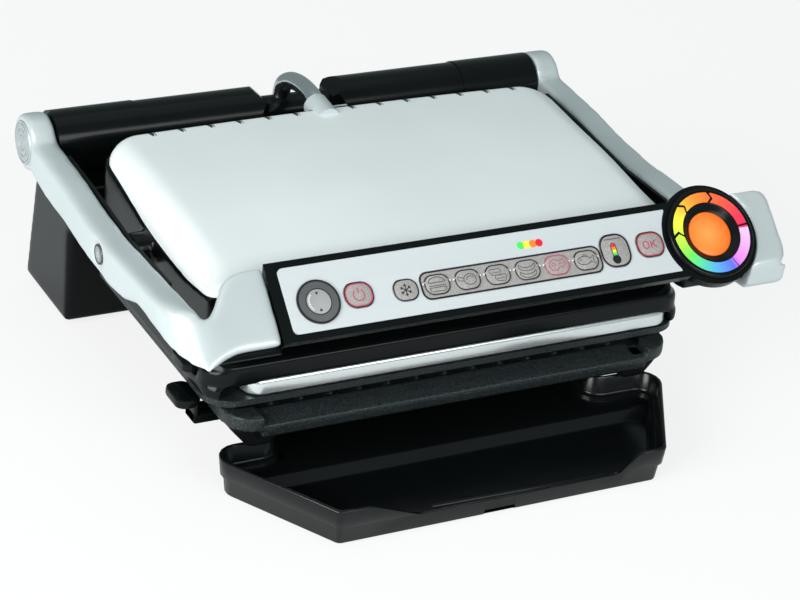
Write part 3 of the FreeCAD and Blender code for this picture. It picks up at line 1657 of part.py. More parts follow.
BUILDERS = [
    make_rear_housing,
    make_base_cover,
    make_lower_tub,
    make_feet,
    make_hinge_sleeves,
    make_hinge_beams,
    make_hinge_core,
    make_hinge_pins,
    make_cord_inlet,
    make_power_board,
    make_lower_heater,
    make_temperature_sensor,
    make_lower_plate,
    make_lower_lever,
    make_drip_tray,
    make_left_arm,
    make_right_arm,
    make_arm_trim,
    make_panel_frame,
    make_handle_shell,
    make_end_cap,
    make_control_plate,
    make_panel_trim,
    make_dial,
    make_buttons,
    make_control_board,
    make_upper_housing,
    make_top_cover,
    make_conduit,
    make_steel_band,
    make_upper_plate,
    make_upper_heater,
    make_upper_lever,
]

for builder in BUILDERS:
    builder()
doc.recompute()

for item in doc.Objects:
    if "Invalid" in item.State or "Error" in item.State:
        raise RuntimeError(f"{item.Label} did not recompute: {item.State}")

os.makedirs("parts", exist_ok=True)
for piece in PIECES:
    shape = piece.Shape
    if shape.isNull() or not shape.isValid():
        raise RuntimeError(f"{piece.Label} has no valid shape")
    shape.exportStep(f"parts/{piece.Label}.step")
    print(f"{piece.Label}: {len(shape.Solids)} solid(s), {shape.Volume / 1000:.1f} cm3")
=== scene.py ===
import math

import bmesh
import bpy
from mathutils import Matrix, Vector


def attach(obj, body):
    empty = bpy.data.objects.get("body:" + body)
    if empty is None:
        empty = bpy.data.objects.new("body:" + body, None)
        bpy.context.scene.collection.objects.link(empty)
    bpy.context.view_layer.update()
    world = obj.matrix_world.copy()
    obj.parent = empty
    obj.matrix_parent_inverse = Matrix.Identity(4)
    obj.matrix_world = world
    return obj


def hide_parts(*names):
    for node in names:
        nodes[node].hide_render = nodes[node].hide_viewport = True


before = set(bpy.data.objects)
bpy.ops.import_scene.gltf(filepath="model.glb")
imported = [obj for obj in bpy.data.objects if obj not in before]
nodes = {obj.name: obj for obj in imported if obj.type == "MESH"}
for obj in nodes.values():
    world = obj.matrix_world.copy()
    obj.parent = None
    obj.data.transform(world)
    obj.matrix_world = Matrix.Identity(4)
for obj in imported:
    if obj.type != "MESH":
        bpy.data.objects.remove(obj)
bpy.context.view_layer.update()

# Width of the lines that icons are drawn with
ICON_LINE = 0.34

# Distance from the middle plane between the arms to the row's origin
SHIFT = -0.011
MM = 0.001

# The sloping panel: its origin and its tilt
PANEL_Y, PANEL_Z = -98.0, 109.5
TILT = math.radians(42.2)

# Centre of the dial along the panel
DIAL_X = 146.0


def spot(x, y, z):
    """Millimetres about the middle plane between the arms, as a place in the row frame."""
    return Vector((x * MM + SHIFT, y * MM, z * MM))


def on_panel(x, up, out=0.0):
    """A place on the sloping panel: along it, up its slope and out of it."""
    along = PANEL_Y + up * math.cos(TILT) - out * math.sin(TILT)
    height = PANEL_Z + up * math.sin(TILT) + out * math.cos(TILT)
    return spot(x, along, height)


# Node helpers for materials


def add_node(owner, kind, *ordered, **named):
    """A new shader node; each of its inputs is a plain value or another node's output."""
    tree = owner.node_tree
    node = tree.nodes.new(kind)
    for place, value in [*enumerate(ordered), *named.items()]:
        if isinstance(value, bpy.types.NodeSocket):
            tree.links.new(value, node.inputs[place])
        else:
            node.inputs[place].default_value = value
    return node


def shader_of(material):
    return material.node_tree.nodes["Principled BSDF"]


def make_material(name, rgb, rough, metal=0.0, coat=0.0, coat_rough=0.1, specular=0.5):
    """A material whose constant values sit on the shader's own sockets."""
    material = bpy.data.materials.new(name)
    material.use_nodes = True
    values = {"Base Color": (*rgb, 1), "Roughness": rough, "Metallic": metal, "Coat Weight": coat,
              "Coat Roughness": coat_rough, "Specular IOR Level": specular}
    for socket, value in values.items():
        shader_of(material).inputs[socket].default_value = value
    return material


def object_coords(material, scale=(1, 1, 1), turn=(0, 0, 0), move=(0, 0, 0)):
    coords = add_node(material, "ShaderNodeTexCoord").outputs["Object"]
    return add_node(material, "ShaderNodeMapping", coords, move, turn, scale).outputs["Vector"]


def noise(material, scale, detail=3.0, rough=0.55, vector=None):
    looks = {"Scale": scale, "Detail": detail, "Roughness": rough}
    place = vector or object_coords(material)
    return add_node(material, "ShaderNodeTexNoise", Vector=place, **looks).outputs["Fac"]


def ramp(material, socket, value, stops):
    """Map a value through colours or greys at the given places, into one of the shader's sockets."""
    node = add_node(material, "ShaderNodeValToRGB", Fac=value)
    elements = node.color_ramp.elements
    while len(elements) < len(stops):
        elements.new(0.5)
    for element, (place, tone) in zip(elements, stops):
        element.position = place
        element.color = (*tone, 1) if isinstance(tone, tuple) else (tone, tone, tone, 1)
    feed(material, socket, node.outputs["Color"])
    return node.outputs["Color"]


def bump(material, height, depth):
    """Fine relief, its depth in micrometres."""
    node = add_node(material, "ShaderNodeBump", Height=height, Distance=depth / 1000 * MM, Strength=1.0)
    feed(material, "Normal", node.outputs["Normal"])


def feed(material, socket, output):
    material.node_tree.links.new(output, shader_of(material).inputs[socket])


def shade(rgb, amount):
    """The same colour, darker or lighter by a share."""
    return tuple(min(1.0, max(0.0, part * (1 + amount))) for part in rgb)


# Materials


def grained(name, rgb, rough, grain=2000, depth=4, metal=0.0, spread=0.05, tone=0.07, **extra):
    """Moulded or painted surface: fine grain, slightly uneven sheen and tone."""
    material = make_material(name, rgb, rough, metal, **extra)
    fine = noise(material, grain, 2.0)
    wide = noise(material, 14.0)
    sheen = [(0.3, max(0.02, rough - spread)), (0.7, rough + spread)]
    ramp(material, "Roughness", wide, sheen)
    ramp(material, "Base Color", wide, [(0.3, shade(rgb, -tone)), (0.7, shade(rgb, tone))])
    bump(material, fine, depth)
    return material


def brushed(name, rgb, rough, along, metal=1.0, depth=12, tone=0.03, spread=0.05, cloud=0.0):
    """Brushed metal: long fine streaks along one direction, over faint cloudy patches."""
    stretch = {"X": (3, 900, 900), "Y": (900, 3, 900), "Z": (900, 900, 3)}[along]
    material = make_material(name, rgb, rough, metal)
    streaks = noise(material, 1.0, 2.0, vector=object_coords(material, stretch))
    wide = noise(material, 11.0, 2.0)
    change = wide if cloud else streaks
    sheen = [(0.25, max(0.02, rough - spread)), (0.75, rough + spread)]
    ramp(material, "Roughness", change, sheen)
    ramp(material, "Base Color", change, [(0.3, shade(rgb, -tone - cloud)), (0.7, shade(rgb, tone))])
    bump(material, streaks, depth)
    return material


def speckled(name, rgb, rough, fleck, grain, depth, specular=0.5):
    """Coating or rubber with fine flecks of a second colour."""
    material = make_material(name, rgb, rough, specular=specular)
    flecks = noise(material, grain, 3.0, 0.7)
    ramp(material, "Base Color", flecks, [(0.46, rgb), (0.62, fleck)])
    ramp(material, "Roughness", flecks, [(0.3, rough), (0.7, rough - 0.08)])
    bump(material, flecks, depth)
    return material


# Colours round the dial, as shares of a turn from the right, the way a clock runs backwards
RING_STOPS = [
    (0.000, (0.83, 0.03, 0.12)), (0.060, (0.90, 0.04, 0.09)), (0.210, (0.96, 0.16, 0.03)),
    (0.290, (0.96, 0.30, 0.03)), (0.370, (0.98, 0.58, 0.05)), (0.430, (0.93, 0.93, 0.06)),
    (0.510, (0.60, 0.94, 0.06)), (0.590, (0.16, 0.86, 0.10)), (0.660, (0.10, 0.66, 0.42)),
    (0.720, (0.10, 0.42, 0.82)), (0.800, (0.12, 0.16, 0.86)), (0.840, (0.86, 0.24, 0.90)),
    (0.985, (0.88, 0.55, 0.86)),
]


def ring_print():
    """Printed scale of the dial: its hue turns with the angle about the dial's axis."""
    material = make_material("ring_print", (0.8, 0.3, 0.1), 0.35)
    centre = on_panel(DIAL_X, 0)
    turn = Matrix.Rotation(-TILT, 3, "X")
    vector = object_coords(material, turn=(-TILT, 0, 0), move=tuple(-(turn @ centre)))
    dial = add_node(material, "ShaderNodeTexGradient", Vector=vector)
    dial.gradient_type = "RADIAL"
    half = add_node(material, "ShaderNodeMath", dial.outputs["Fac"], 0.5)
    share = add_node(material, "ShaderNodeMath", half.outputs["Value"])
    share.operation = "FRACT"
    ramp(material, "Base Color", share.outputs["Value"], RING_STOPS)
    ramp(material, "Roughness", noise(material, 300.0), [(0.3, 0.3), (0.7, 0.4)])
    return material


def glowing_dome():
    """Translucent orange cap, lit from behind, paler in the middle."""
    material = make_material("dome_glow", (0.93, 0.20, 0.01), 0.34, coat=0.3, coat_rough=0.25)
    centre = on_panel(DIAL_X - 1.5, 0)
    vector = object_coords(material, scale=(76, 76, 76), move=tuple(-76 * part for part in centre))
    glow = add_node(material, "ShaderNodeTexGradient", Vector=vector)
    glow.gradient_type = "SPHERICAL"
    stops = [(0.0, (0.90, 0.15, 0.003)), (0.9, (0.98, 0.29, 0.06))]
    feed(material, "Emission Color", ramp(material, "Base Color", glow.outputs["Fac"], stops))
    shader_of(material).inputs["Emission Strength"].default_value = 0.22
    return material


# Every material: colour, roughness, grain and its depth, then what sets it apart
MATERIALS = {
    "silver": grained("silver_paint", (0.60, 0.655, 0.665), 0.38, 2400, 12, 0.4, tone=0.03),
    "cover": brushed("cover_steel", (0.86, 0.895, 0.90), 0.46, "X", metal=0.2, tone=0.012, cloud=0.02),
    "band": grained("band_steel", (0.72, 0.75, 0.76), 0.2, 300, 1, 0.8, tone=0.01),
    "plate_metal": brushed("panel_metal", (0.70, 0.735, 0.755), 0.45, "X", metal=0.35, tone=0.012),
    "black_gloss": grained("black_gloss", (0.003, 0.0042, 0.0044), 0.2, 1800, spread=0.03, specular=0.17),
    "black_matte": grained("black_matte", (0.004, 0.005, 0.005), 0.42, 1500, 20, specular=0.12),
    "tray": grained("tray_plastic", (0.003, 0.004, 0.0042), 0.2, 1500, 6, spread=0.03, specular=0.32),
    "rubber": grained("foot_rubber", (0.02, 0.02, 0.02), 0.8, 900, 40),
    "pin": brushed("pin_steel", (0.5, 0.5, 0.51), 0.3, "X"),
    "disc": brushed("hinge_disc", (0.45, 0.49, 0.50), 0.38, "Z", metal=0.5),
    "board": grained("circuit_board", (0.01, 0.09, 0.04), 0.5, 600, 40),
    "reflector": brushed("reflector_metal", (0.7, 0.7, 0.7), 0.25, "Y"),
    "element": grained("element_sheath", (0.16, 0.14, 0.13), 0.5, 900, 30, 0.7),
    "cast": speckled("plate_coat", (0.006, 0.0085, 0.009), 0.42, (0.035, 0.045, 0.047), 1300, 40, 0.3),
    "button": speckled("button_rubber", (0.30, 0.285, 0.275), 0.62, (0.38, 0.365, 0.355), 900, 20),
    "ring": ring_print(),
    "dome": glowing_dome(),
    # The emblem's metal, also used for the painted highlight strips beside the louvres
    "chrome": grained("emblem_metal", (0.42, 0.42, 0.42), 0.3, 900, 2, 0.5, tone=0.35, spread=0.1),
    "dark_metal": grained("emblem_ring", (0.13, 0.13, 0.135), 0.35, 900, 2, 0.5, tone=0.3),
    "tube": grained("tube_chrome", (0.62, 0.65, 0.66), 0.2, 900, 2, 1.0, tone=0.03, spread=0.03),
    "ink": grained("black_ink", (0.006, 0.007, 0.008), 0.45),
    "line": grained("icon_line", (0.07, 0.066, 0.065), 0.5),
    "lamp": grained("lamp_white", (0.92, 0.92, 0.90), 0.4),
    "red": grained("red_ink", (0.48, 0.07, 0.10), 0.45),
    "green_dot": grained("green_ink", (0.06, 0.80, 0.10), 0.4),
    "yellow_dot": grained("yellow_ink", (0.96, 0.82, 0.05), 0.4),
    "orange_dot": grained("orange_ink", (0.90, 0.24, 0.03), 0.4),
    "red_dot": grained("scarlet_ink", (0.85, 0.01, 0.02), 0.4),
}

# The material of every CAD piece
BY_NODE = {
    "silver": ["left_arm", "right_arm", "end_cap", "conduit_boss"],
    "cover": ["top_cover"],
    "band": ["steel_band"],
    "chrome": ["emblem_disc"],
    "tube": ["conduit"],
    "plate_metal": ["control_plate"],
    "black_gloss": ["hinge_beam_left", "hinge_beam_right", "hinge_sleeve_left", "hinge_sleeve_right",
                    "hinge_core", "handle_shell", "panel_frame", "upper_housing", "upper_release_lever",
                    "lower_release_lever", "indicator_bezel", "rear_housing"],
    "black_matte": ["lower_tub", "base_cover", "arm_liner_left", "arm_liner_right", "cord_inlet"],
    "tray": ["drip_tray"],
    "rubber": ["rubber_feet"],
    "pin": ["hinge_pin_left", "hinge_pin_right", "pivot_pin_left", "pivot_pin_right", "panel_screws"],
    "disc": ["hinge_cap_left", "hinge_cap_right"],
    "board": ["power_board", "control_board", "indicator_led_board"],
    "reflector": ["lower_reflector", "upper_reflector"],
    "element": ["lower_element", "upper_element", "temperature_sensor"],
    "cast": ["lower_plate", "upper_plate"],
    "button": ["program_strip", "power_button", "frozen_button", "temperature_button", "confirm_button",
               *[f"program_button_{number}" for number in range(1, 7)]],
    "ring": ["color_ring"],
    "dome": ["indicator_dome"],
}

# Pieces whose edges are rounded by remeshing them: voxel size in mm and smoothing rounds
SOFTENED = {
    "left_arm": (1.1, 70), "right_arm": (1.1, 30), "end_cap": (1.0, 30), "rear_housing": (1.3, 22),
    "handle_shell": (1.1, 5), "upper_housing": (1.1, 12), "lower_plate": (1.0, 8), "lower_tub": (1.2, 14),
}


def finish_cad_nodes():
    """Give every CAD piece its material and softly broken edges."""
    for finish, names in BY_NODE.items():
        for name in names:
            thing = nodes[name]
            for slot in thing.material_slots:
                slot.material = MATERIALS[finish]
            if name in SOFTENED:
                soften(thing, *SOFTENED[name])
                continue
            edge = thing.modifiers.new("edge", "BEVEL")
            edge.width = 0.0005
            edge.segments = 2
            edge.limit_method = "ANGLE"
            edge.angle_limit = math.radians(35)


def soften(thing, voxel, rounds):
    """Round a casting's edges: an even mesh, relaxed a little."""
    mesh = thing.modifiers.new("mesh", "REMESH")
    mesh.mode = "VOXEL"
    mesh.voxel_size = voxel * MM
    mesh.use_smooth_shade = True
    relax = thing.modifiers.new("relax", "SMOOTH")
    relax.factor = 0.5
    relax.iterations = rounds


# Mesh helpers


def show(thing):
    bpy.context.scene.collection.objects.link(thing)


def make_piece(name, points, faces, finish, body, slot, stands_for=(), angle=35):
    """A mesh piece that rides on a body, with sharp edges only where it turns sharply."""
    mesh = bpy.data.meshes.new(name)
    mesh.from_pydata([tuple(point) for point in points], [], faces)
    tidy = bmesh.new()
    tidy.from_mesh(mesh)
    bmesh.ops.remove_doubles(tidy, verts=tidy.verts, dist=0.004 * MM)
    bmesh.ops.recalc_face_normals(tidy, faces=tidy.faces)
    tidy.to_mesh(mesh)
    tidy.free()
    mesh.shade_smooth()
    mesh.set_sharp_from_angle(angle=math.radians(angle))
    mesh.materials.append(MATERIALS[finish])
    piece = bpy.data.objects.new(name, mesh)
    show(piece)
    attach(piece, body)
    for node in stands_for:
        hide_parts(node)


def skin(rings, closed=True, caps=(False, False)):
    """Faces between rings of equally many points, with flat ends if asked."""
    points = [point for ring in rings for point in ring]
    count = len(rings[0])
    faces = []
    for level in range(len(rings) - 1):
        for step in range(count if closed else count - 1):
            first, second = level * count + step, level * count + (step + 1) % count
            faces.append((first, second, second + count, first + count))
    if caps[0]:
        faces.append(tuple(reversed(range(count))))
    if caps[1]:
        start = (len(rings) - 1) * count
        faces.append(tuple(range(start, start + count)))
    return points, faces


def solid(rings):
    """A skin that is closed by a flat face at both ends."""
    return skin(rings, caps=(True, True))


def join(*parts):
    """Several sets of points and faces as one."""
    points, faces = [], []
    for more_points, more_faces in parts:
        start = len(points)
        points += list(more_points)
        faces += [tuple(index + start for index in face) for face in more_faces]
    return points, faces


def circle(x, up, radius, steps=48, first=0.0, last=360.0):
    """Points on an arc, both ends included unless it is a full turn."""
    full = abs(last - first) >= 360
    span = steps if full else steps - 1
    angles = [math.radians(first + (last - first) * step / span) for step in range(steps)]
    return [(x + radius * math.cos(angle), up + radius * math.sin(angle)) for angle in angles]


def rounded(width, height, corner, x=0.0, up=0.0, steps=6):
    """Rounded rectangle about a centre, counterclockwise."""
    outline = []
    for number, (side, rise) in enumerate([(1, 1), (-1, 1), (-1, -1), (1, -1)]):
        middle = (x + side * (width / 2 - corner), up + rise * (height / 2 - corner))
        outline += circle(*middle, corner, steps, number * 90, number * 90 + 90)
    return outline


def ribbon(line, width=ICON_LINE, closed=False):
    """Quads along a line in the plane, as wide as asked."""
    count = len(line)
    left, right = [], []
    for index, (x, y) in enumerate(line):
        before = line[index - 1] if index or closed else line[index]
        after = line[(index + 1) % count] if index < count - 1 or closed else line[index]
        aside = Vector((before[1] - after[1], after[0] - before[0])).normalized() * (width / 2)
        left.append((x + aside.x, y + aside.y))
        right.append((x - aside.x, y - aside.y))
    pairs = [(index, (index + 1) % count) for index in range(count if closed else count - 1)]
    return [[left[here], right[here], right[there], left[there]] for here, there in pairs]


def loop(line, width=ICON_LINE):
    """A ribbon whose end meets its start."""
    return ribbon(line, width, closed=True)


def placed(shapes, x, up, size=1.0):
    """The same outlines, sized about zero and then moved."""
    return [[(x + along * size, up + rise * size) for along, rise in shape] for shape in shapes]


def ink(name, shapes, out, finish, body, slot="black_gloss", thick=0.05, stands_for=()):
    """Flat print on the sloping panel: each shape is a plane outline."""
    parts = []
    for shape in shapes:
        low = [on_panel(x, up, out - 0.02) for x, up in shape]
        high = [on_panel(x, up, out + thick) for x, up in shape]
        parts.append(skin([low, high], caps=(False, True)))
    make_piece(name, *join(*parts), finish, body, slot, stands_for)


def slab(levels, size, corner, middle, steps, follow=1.0):
    """Rings of a round-cornered block: each has an inset, which its corners follow, and a height."""
    rings = []
    for inset, height in levels:
        plan = rounded(size[0] - 2 * inset, size[1] - 2 * inset, corner - follow * inset, *middle, steps)
        rings.append([spot(x, y, height) for x, y in plan])
    return rings


def turned(profile, place, steps=96):
    """A turned shape: radius and distance along an axis, placed by a function."""
    rings = [[place(*point, along) for point in circle(0, 0, radius, steps)] for radius, along in profile]
    return skin(rings)


# Steel cover of the upper housing

COVER_SIDE, COVER_FRONT, COVER_REAR = 138.7, -78.3, 78.6
COVER_ROLL, COVER_INNER = 16.0, 20.0
# The front and rear roll over less far in plan than the sides do
COVER_SHORTER = 0.4
COVER_COLUMNS, COVER_ROWS = 28, 18
# Height of the cover's top and of its lower edge, from the front to the rear
COVER_TOP = [(-78.5, 112), (-50, 117), (-30, 120), (-10, 122.5), (15, 124.5), (45, 126.2), (73, 126.8),
             (80, 126.6)]
COVER_EDGE = [(-78.5, 106), (-61, 103.8), (-45, 102.2), (-18, 102.9), (10, 105.7), (40, 112.2), (61, 115.8),
              (80, 116.6)]
LOUVRE_COUNT, LOUVRE_PITCH, LOUVRE_SHIFT = 14, 17.3, 2.0
LOUVRE_START, LOUVRE_LENGTH = 69.0, 8.4


def along_line(table, place):
    """Height at a place on a smooth line through a table of points."""
    last = len(table) - 2
    index = next((at for at in range(last + 1) if place <= table[at + 1][0]), last)
    (start, low), (end, high) = table[index], table[index + 1]
    share = min(max((place - start) / (end - start), 0), 1)

    def slope(at):
        first, second = table[max(at - 1, 0)], table[min(at + 1, last + 1)]
        return (second[1] - first[1]) / (second[0] - first[0]) * (end - start)

    square, cube = share**2, share**3
    height = low * (2 * cube - 3 * square + 1) + high * (3 * square - 2 * cube)
    return height + slope(index) * (cube - 2 * square + share) + slope(index + 1) * (cube - square)


def cover_limits(inset):
    """Half width, rear and front of the cover's plan, drawn in by an inset."""
    return COVER_SIDE - inset, COVER_REAR - COVER_SHORTER * inset, COVER_FRONT + COVER_SHORTER * inset


def cover_outline(inset, steps=7):
    """The cover's plan outline, drawn in by an inset, with points that meet the inner grid."""
    side, rear, front = cover_limits(inset)
    arcs = []
    for x, y, corner, first in ((side, front, 8, 270), (side, rear, 20, 0), (-side, rear, 20, 90),
                                (-side, front, 8, 180)):
        radius = corner * (1 - inset / COVER_INNER)
        middle = (math.copysign(abs(x) - radius, x), y - math.copysign(radius, y))
        arcs.append(circle(*middle, radius, steps, first, first + 90))
    outline = []
    for number, arc in enumerate(arcs):
        start, end = Vector(arc[-1]), Vector(arcs[(number + 1) % 4][0])
        cells = COVER_COLUMNS if number % 2 else COVER_ROWS
        outline += arc + [tuple(start.lerp(end, cell / cells)) for cell in range(1, cells)]
    return outline


def cover_crown(x, y):
    """Height of the cover's top, which rises a little towards its middle."""
    return along_line(COVER_TOP, y) + 1.5 * max(0, 1 - (x / 123) ** 2)


def cover_line(line):
    return [spot(x, y, cover_crown(x, y)) for x, y in line]


def make_cover():
    """Sheet steel cover: rolled sides and rear, a slightly raised middle, open underneath."""
    outer = cover_outline(0)
    edges = [along_line(COVER_EDGE, y) for _, y in outer]
    rolls = [min(COVER_ROLL, cover_crown(x, y) - edge) for (x, y), edge in zip(outer, edges)]
    rings = []
    for inset, lift in ((1.2, 4.0), (1.2, 0.3), (0.6, 0.0), (0.0, 0.4)):
        plan = cover_outline(inset)
        rings.append([spot(x, y, edge + lift) for (x, y), edge in zip(plan, edges)])
    for turn in [math.radians(angle) for angle in range(0, 91, 9)]:
        plan = cover_outline(COVER_ROLL * (1 - math.cos(turn)))
        drop = 1 - math.sin(turn)
        rings.append([spot(x, y, cover_crown(x, y) - roll * drop) for (x, y), roll in zip(plan, rolls)])
    rings.append(cover_line(cover_outline(COVER_INNER)))
    side, rear, front = cover_limits(COVER_INNER)
    places = [-side + 2 * side * column / COVER_COLUMNS for column in range(COVER_COLUMNS + 1)]
    rows = [front + (rear - front) * row / COVER_ROWS for row in range(COVER_ROWS + 1)]
    shell = join(skin(rings), skin([cover_line([(x, y) for x in places]) for y in rows], closed=False))
    make_piece("cover_shell", *shell, "cover", "upper", "silver_paint", ["top_cover"], angle=50)


def cover_spot(x, y, lift):
    """A place on the cover's rear roll or top."""
    inset = (COVER_REAR - y) / COVER_SHORTER
    if inset >= COVER_ROLL:
        return spot(x, y, cover_crown(x, y) + lift)
    turn = math.acos(1 - inset / COVER_ROLL)
    roll = min(COVER_ROLL, cover_crown(x, COVER_REAR) - along_line(COVER_EDGE, COVER_REAR))
    level = cover_crown(x, y) - roll * (1 - math.sin(turn))
    return spot(x, y + lift * math.cos(turn), level + lift * math.sin(turn))


def strip_on_cover(line, width, lift):
    """A narrow strip that follows the cover along a plan line, with pointed ends."""
    left, right = [], []
    last = len(line) - 1
    for index, (x, y) in enumerate(line):
        half = width / 2 * math.sin(math.pi * (0.08 + 0.84 * index / last))
        left.append(cover_spot(x - half, y, lift))
        right.append(cover_spot(x + half, y, lift))
    return skin([left, right], closed=False)


def make_louvres():
    """Pressed vents along the rear roll: a black strip of painted shade for each slot's opening, with a strip
    of painted highlight beside it along the lip.
    """
    shaded_slits, lip_highlights = [], []
    for index in range(LOUVRE_COUNT):
        x = (index - (LOUVRE_COUNT - 1) / 2) * LOUVRE_PITCH + LOUVRE_SHIFT
        line = [(x - 2.6 * (step / 8) ** 2, LOUVRE_START + LOUVRE_LENGTH * step / 8) for step in range(9)]
        # Painted shade: a flat black strip stands for the shade inside each slot
        shaded_slits.append(strip_on_cover(line, 2.4, 0.06))
        # Painted highlight: a lighter metal strip beside the slot stands for the light on its lip
        lip_highlights.append(strip_on_cover([(place + 1.7, y) for place, y in line], 1.3, 0.1))
    make_piece("cover_louvre_painted_shade", *join(*shaded_slits), "ink", "upper", "black_gloss")
    make_piece("cover_louvre_painted_highlights", *join(*lip_highlights), "chrome", "upper", "silver_paint")


# Control panel: plates, buttons, prints, icons and the dial

STRIP_TOP, KEY_TOP, BUTTON_TOP = 0.4, 0.9, 0.5
SHEET_FLOOR, BUTTON_FLOOR = -1.2, -1.6
PLATE_LEFT, PLATE_RIGHT, PLATE_HALF, PLATE_CORNER = -107.0, 122.6, 17.9, 3.5
DIAL_CLEAR = 28.8
# The program strip: its middle, and the size and corner radius of the printed outline
STRIP_X, STRIP_SIZE = 22.5, (107.0, 14.6, 4.4)
# The six program keys: where they stand, their size and corner radius
KEY_X = [-22.2 + 17.8 * index for index in range(6)]
KEY_UP = -3.7
KEY_SIZE = (14.6, 11.0, 5.1)
ICON_SIZE = 1.22
LEVEL_COLOURS = ["green_dot", "yellow_dot", "orange_dot", "red_dot"]
# Every larger button: place, size, corner radius and the width of its dark border
LARGE = {
    "power": (-66.6, -2.4, 16.5, 14.0, 6.2, 0.75),
    "frozen": (-40.2, -3.9, 14.3, 12.0, 5.4, 0.75),
    "temperature": (86.0, -0.8, 18.0, 19.0, 7.2, 1.05),
    "confirm": (107.8, -0.5, 17.0, 14.5, 6.2, 0.75),
}


def button_edge(name):
    """Dark border just inside a button's edge."""
    x, up, width, height, corner, line = LARGE[name]
    outer = rounded(width - 0.1, height - 0.1, corner - 0.05, x, up, 9)
    inner = rounded(width - 2 * line, height - 2 * line, corner - line, x, up, 9)
    ends = list(zip(outer, inner))
    return [[here[0], there[0], there[1], here[1]] for here, there in zip(ends, ends[1:] + ends[:1])]


def pierced(name, outline, holes, high, finish, slot, node):
    """A flat sheet of the panel with holes through it, which stands for a CAD piece."""
    shape = bpy.data.curves.new(name, "CURVE")
    shape.dimensions = "2D"
    shape.fill_mode = "BOTH"
    shape.extrude = (high - SHEET_FLOOR) / 2
    for edge in [outline, *holes]:
        line = shape.splines.new("POLY")
        line.points.add(len(edge) - 1)
        for point, (x, up) in zip(line.points, edge):
            point.co = (x, up, 0, 1)
        line.use_cyclic_u = True
    holder = bpy.data.objects.new(name, shape)
    show(holder)
    bpy.context.view_layer.update()
    mesh = bpy.data.meshes.new_from_object(holder.evaluated_get(bpy.context.evaluated_depsgraph_get()))
    middle = (SHEET_FLOOR + high) / 2
    points = [on_panel(point.co.x, point.co.y, point.co.z + middle) for point in mesh.vertices]
    faces = [tuple(face.vertices) for face in mesh.polygons]
    bpy.data.objects.remove(holder)
    make_piece(name, points, faces, finish, "lid", slot, [node])


def slab_button(name, place, size, high, body):
    """A button with a softly rounded top edge; its body and its CAD piece share one name."""
    width, height, corner = size
    rim = 0.35
    rings = []
    for inset, level in ((0, BUTTON_FLOOR), (0, high - rim), (rim * 0.3, high - rim * 0.3), (rim, high)):
        outline = rounded(width - 2 * inset, height - 2 * inset, corner - inset, *place, 9)
        rings.append([on_panel(x, up, level) for x, up in outline])
    make_piece(name, *solid(rings), "button", body, "button_rubber", [body])


def make_plates():
    """Metal plate and rubber strip of the panel, with their round-cornered holes."""
    side, rise = PLATE_LEFT + PLATE_CORNER, PLATE_HALF - PLATE_CORNER
    cut = [(x, up) for x, up in circle(DIAL_X, 0, DIAL_CLEAR, 40, 145, 215) if abs(up) < PLATE_HALF - 0.5]
    outline = circle(side, rise, PLATE_CORNER, 7, 90, 180) + circle(side, -rise, PLATE_CORNER, 7, 180, 270)
    outline += [(PLATE_RIGHT, -PLATE_HALF)] + cut[::-1] + [(PLATE_RIGHT, PLATE_HALF)]
    holes = [rounded(w + 0.4, h + 0.4, corner + 0.2, x, up, 9) for x, up, w, h, corner, _ in LARGE.values()]
    wide, high, round_off = STRIP_SIZE
    holes.append(rounded(wide - 1.0, high - 1.0, round_off - 0.4, STRIP_X, KEY_UP, 8))
    pierced("panel_plate", outline, holes, 0.0, "plate_metal", "panel_metal", "control_plate")
    width, height, corner = KEY_SIZE
    keys = [rounded(width + 0.3, height + 0.3, corner + 0.15, x, KEY_UP, 9) for x in KEY_X]
    strip = rounded(wide - 0.2, high - 0.2, round_off - 0.1, STRIP_X, KEY_UP, 8)
    pierced("key_strip", strip, keys, STRIP_TOP, "button", "strip_plastic", "program_strip")


def make_button_caps():
    for name, (x, up, width, height, corner, _) in LARGE.items():
        slab_button(f"{name}_cap", (x, up), (width, height, corner), BUTTON_TOP, f"{name}_button")
    for index, x in enumerate(KEY_X):
        slab_button(f"key_cap_{index + 1}", (x, KEY_UP), KEY_SIZE, KEY_TOP, f"program_button_{index + 1}")


def ellipse(x, up, width, height, steps=24, first=0, last=360):
    arc = circle(0, 0, 1, steps, first, last)
    return [(x + along * width, up + rise * height) for along, rise in arc]


# Signs and icons, drawn about zero


def snowflake(reach=3.5):
    shapes = []
    for number in range(6):
        turn = math.radians(60 * number + 30)
        tip = Vector((math.cos(turn), math.sin(turn))) * reach
        shapes += ribbon([(0, 0), tip], 0.5)
        for side in (-1, 1):
            branch = Vector((math.cos(turn + side * 0.75), math.sin(turn + side * 0.75))) * reach
            shapes += ribbon([0.55 * tip, 0.55 * tip + 0.36 * branch], 0.42)
    return shapes


def power_sign():
    return ribbon(circle(0, -0.2, 3.1, 28, 125, 415), 0.65) + ribbon([(0, 0.7), (0, 3.9)], 0.65)


def ok_letters():
    shapes = loop(ellipse(-2.6, 0, 1.7, 2.1, 20), 0.7)
    for line in ([(0.6, -2.1), (0.6, 2.1)], [(0.8, -0.2), (3.6, 2.1)], [(1.5, 0.3), (3.8, -2.1)]):
        shapes += ribbon(line, 0.7)
    return shapes


def burger():
    shapes = ribbon(ellipse(0, 0.9, 3.9, 2.4, 18, 0, 180))
    for rise in (0.9, -0.5, -1.3):
        shapes += ribbon([(-3.9, rise), (3.9, rise)])
    foot = [(-3.9, -1.3), (-3.6, -2.7), (-3.0, -3.1), (3.0, -3.1), (3.6, -2.7), (3.9, -1.3)]
    return shapes + ribbon(foot)


def drumstick():
    shapes = loop(ellipse(1.1, 0, 2.9, 2.4))
    shapes += ribbon(ellipse(1.3, 0.1, 1.7, 1.3, 16, 20, 200), 0.3)
    bone = [(-1.5, 0.8), (-3.3, 1.2), (-4.1, 1.8), (-4.5, 1.1), (-4.5, 0.1), (-3.7, -0.2), (-1.6, -0.5)]
    return shapes + ribbon(bone)


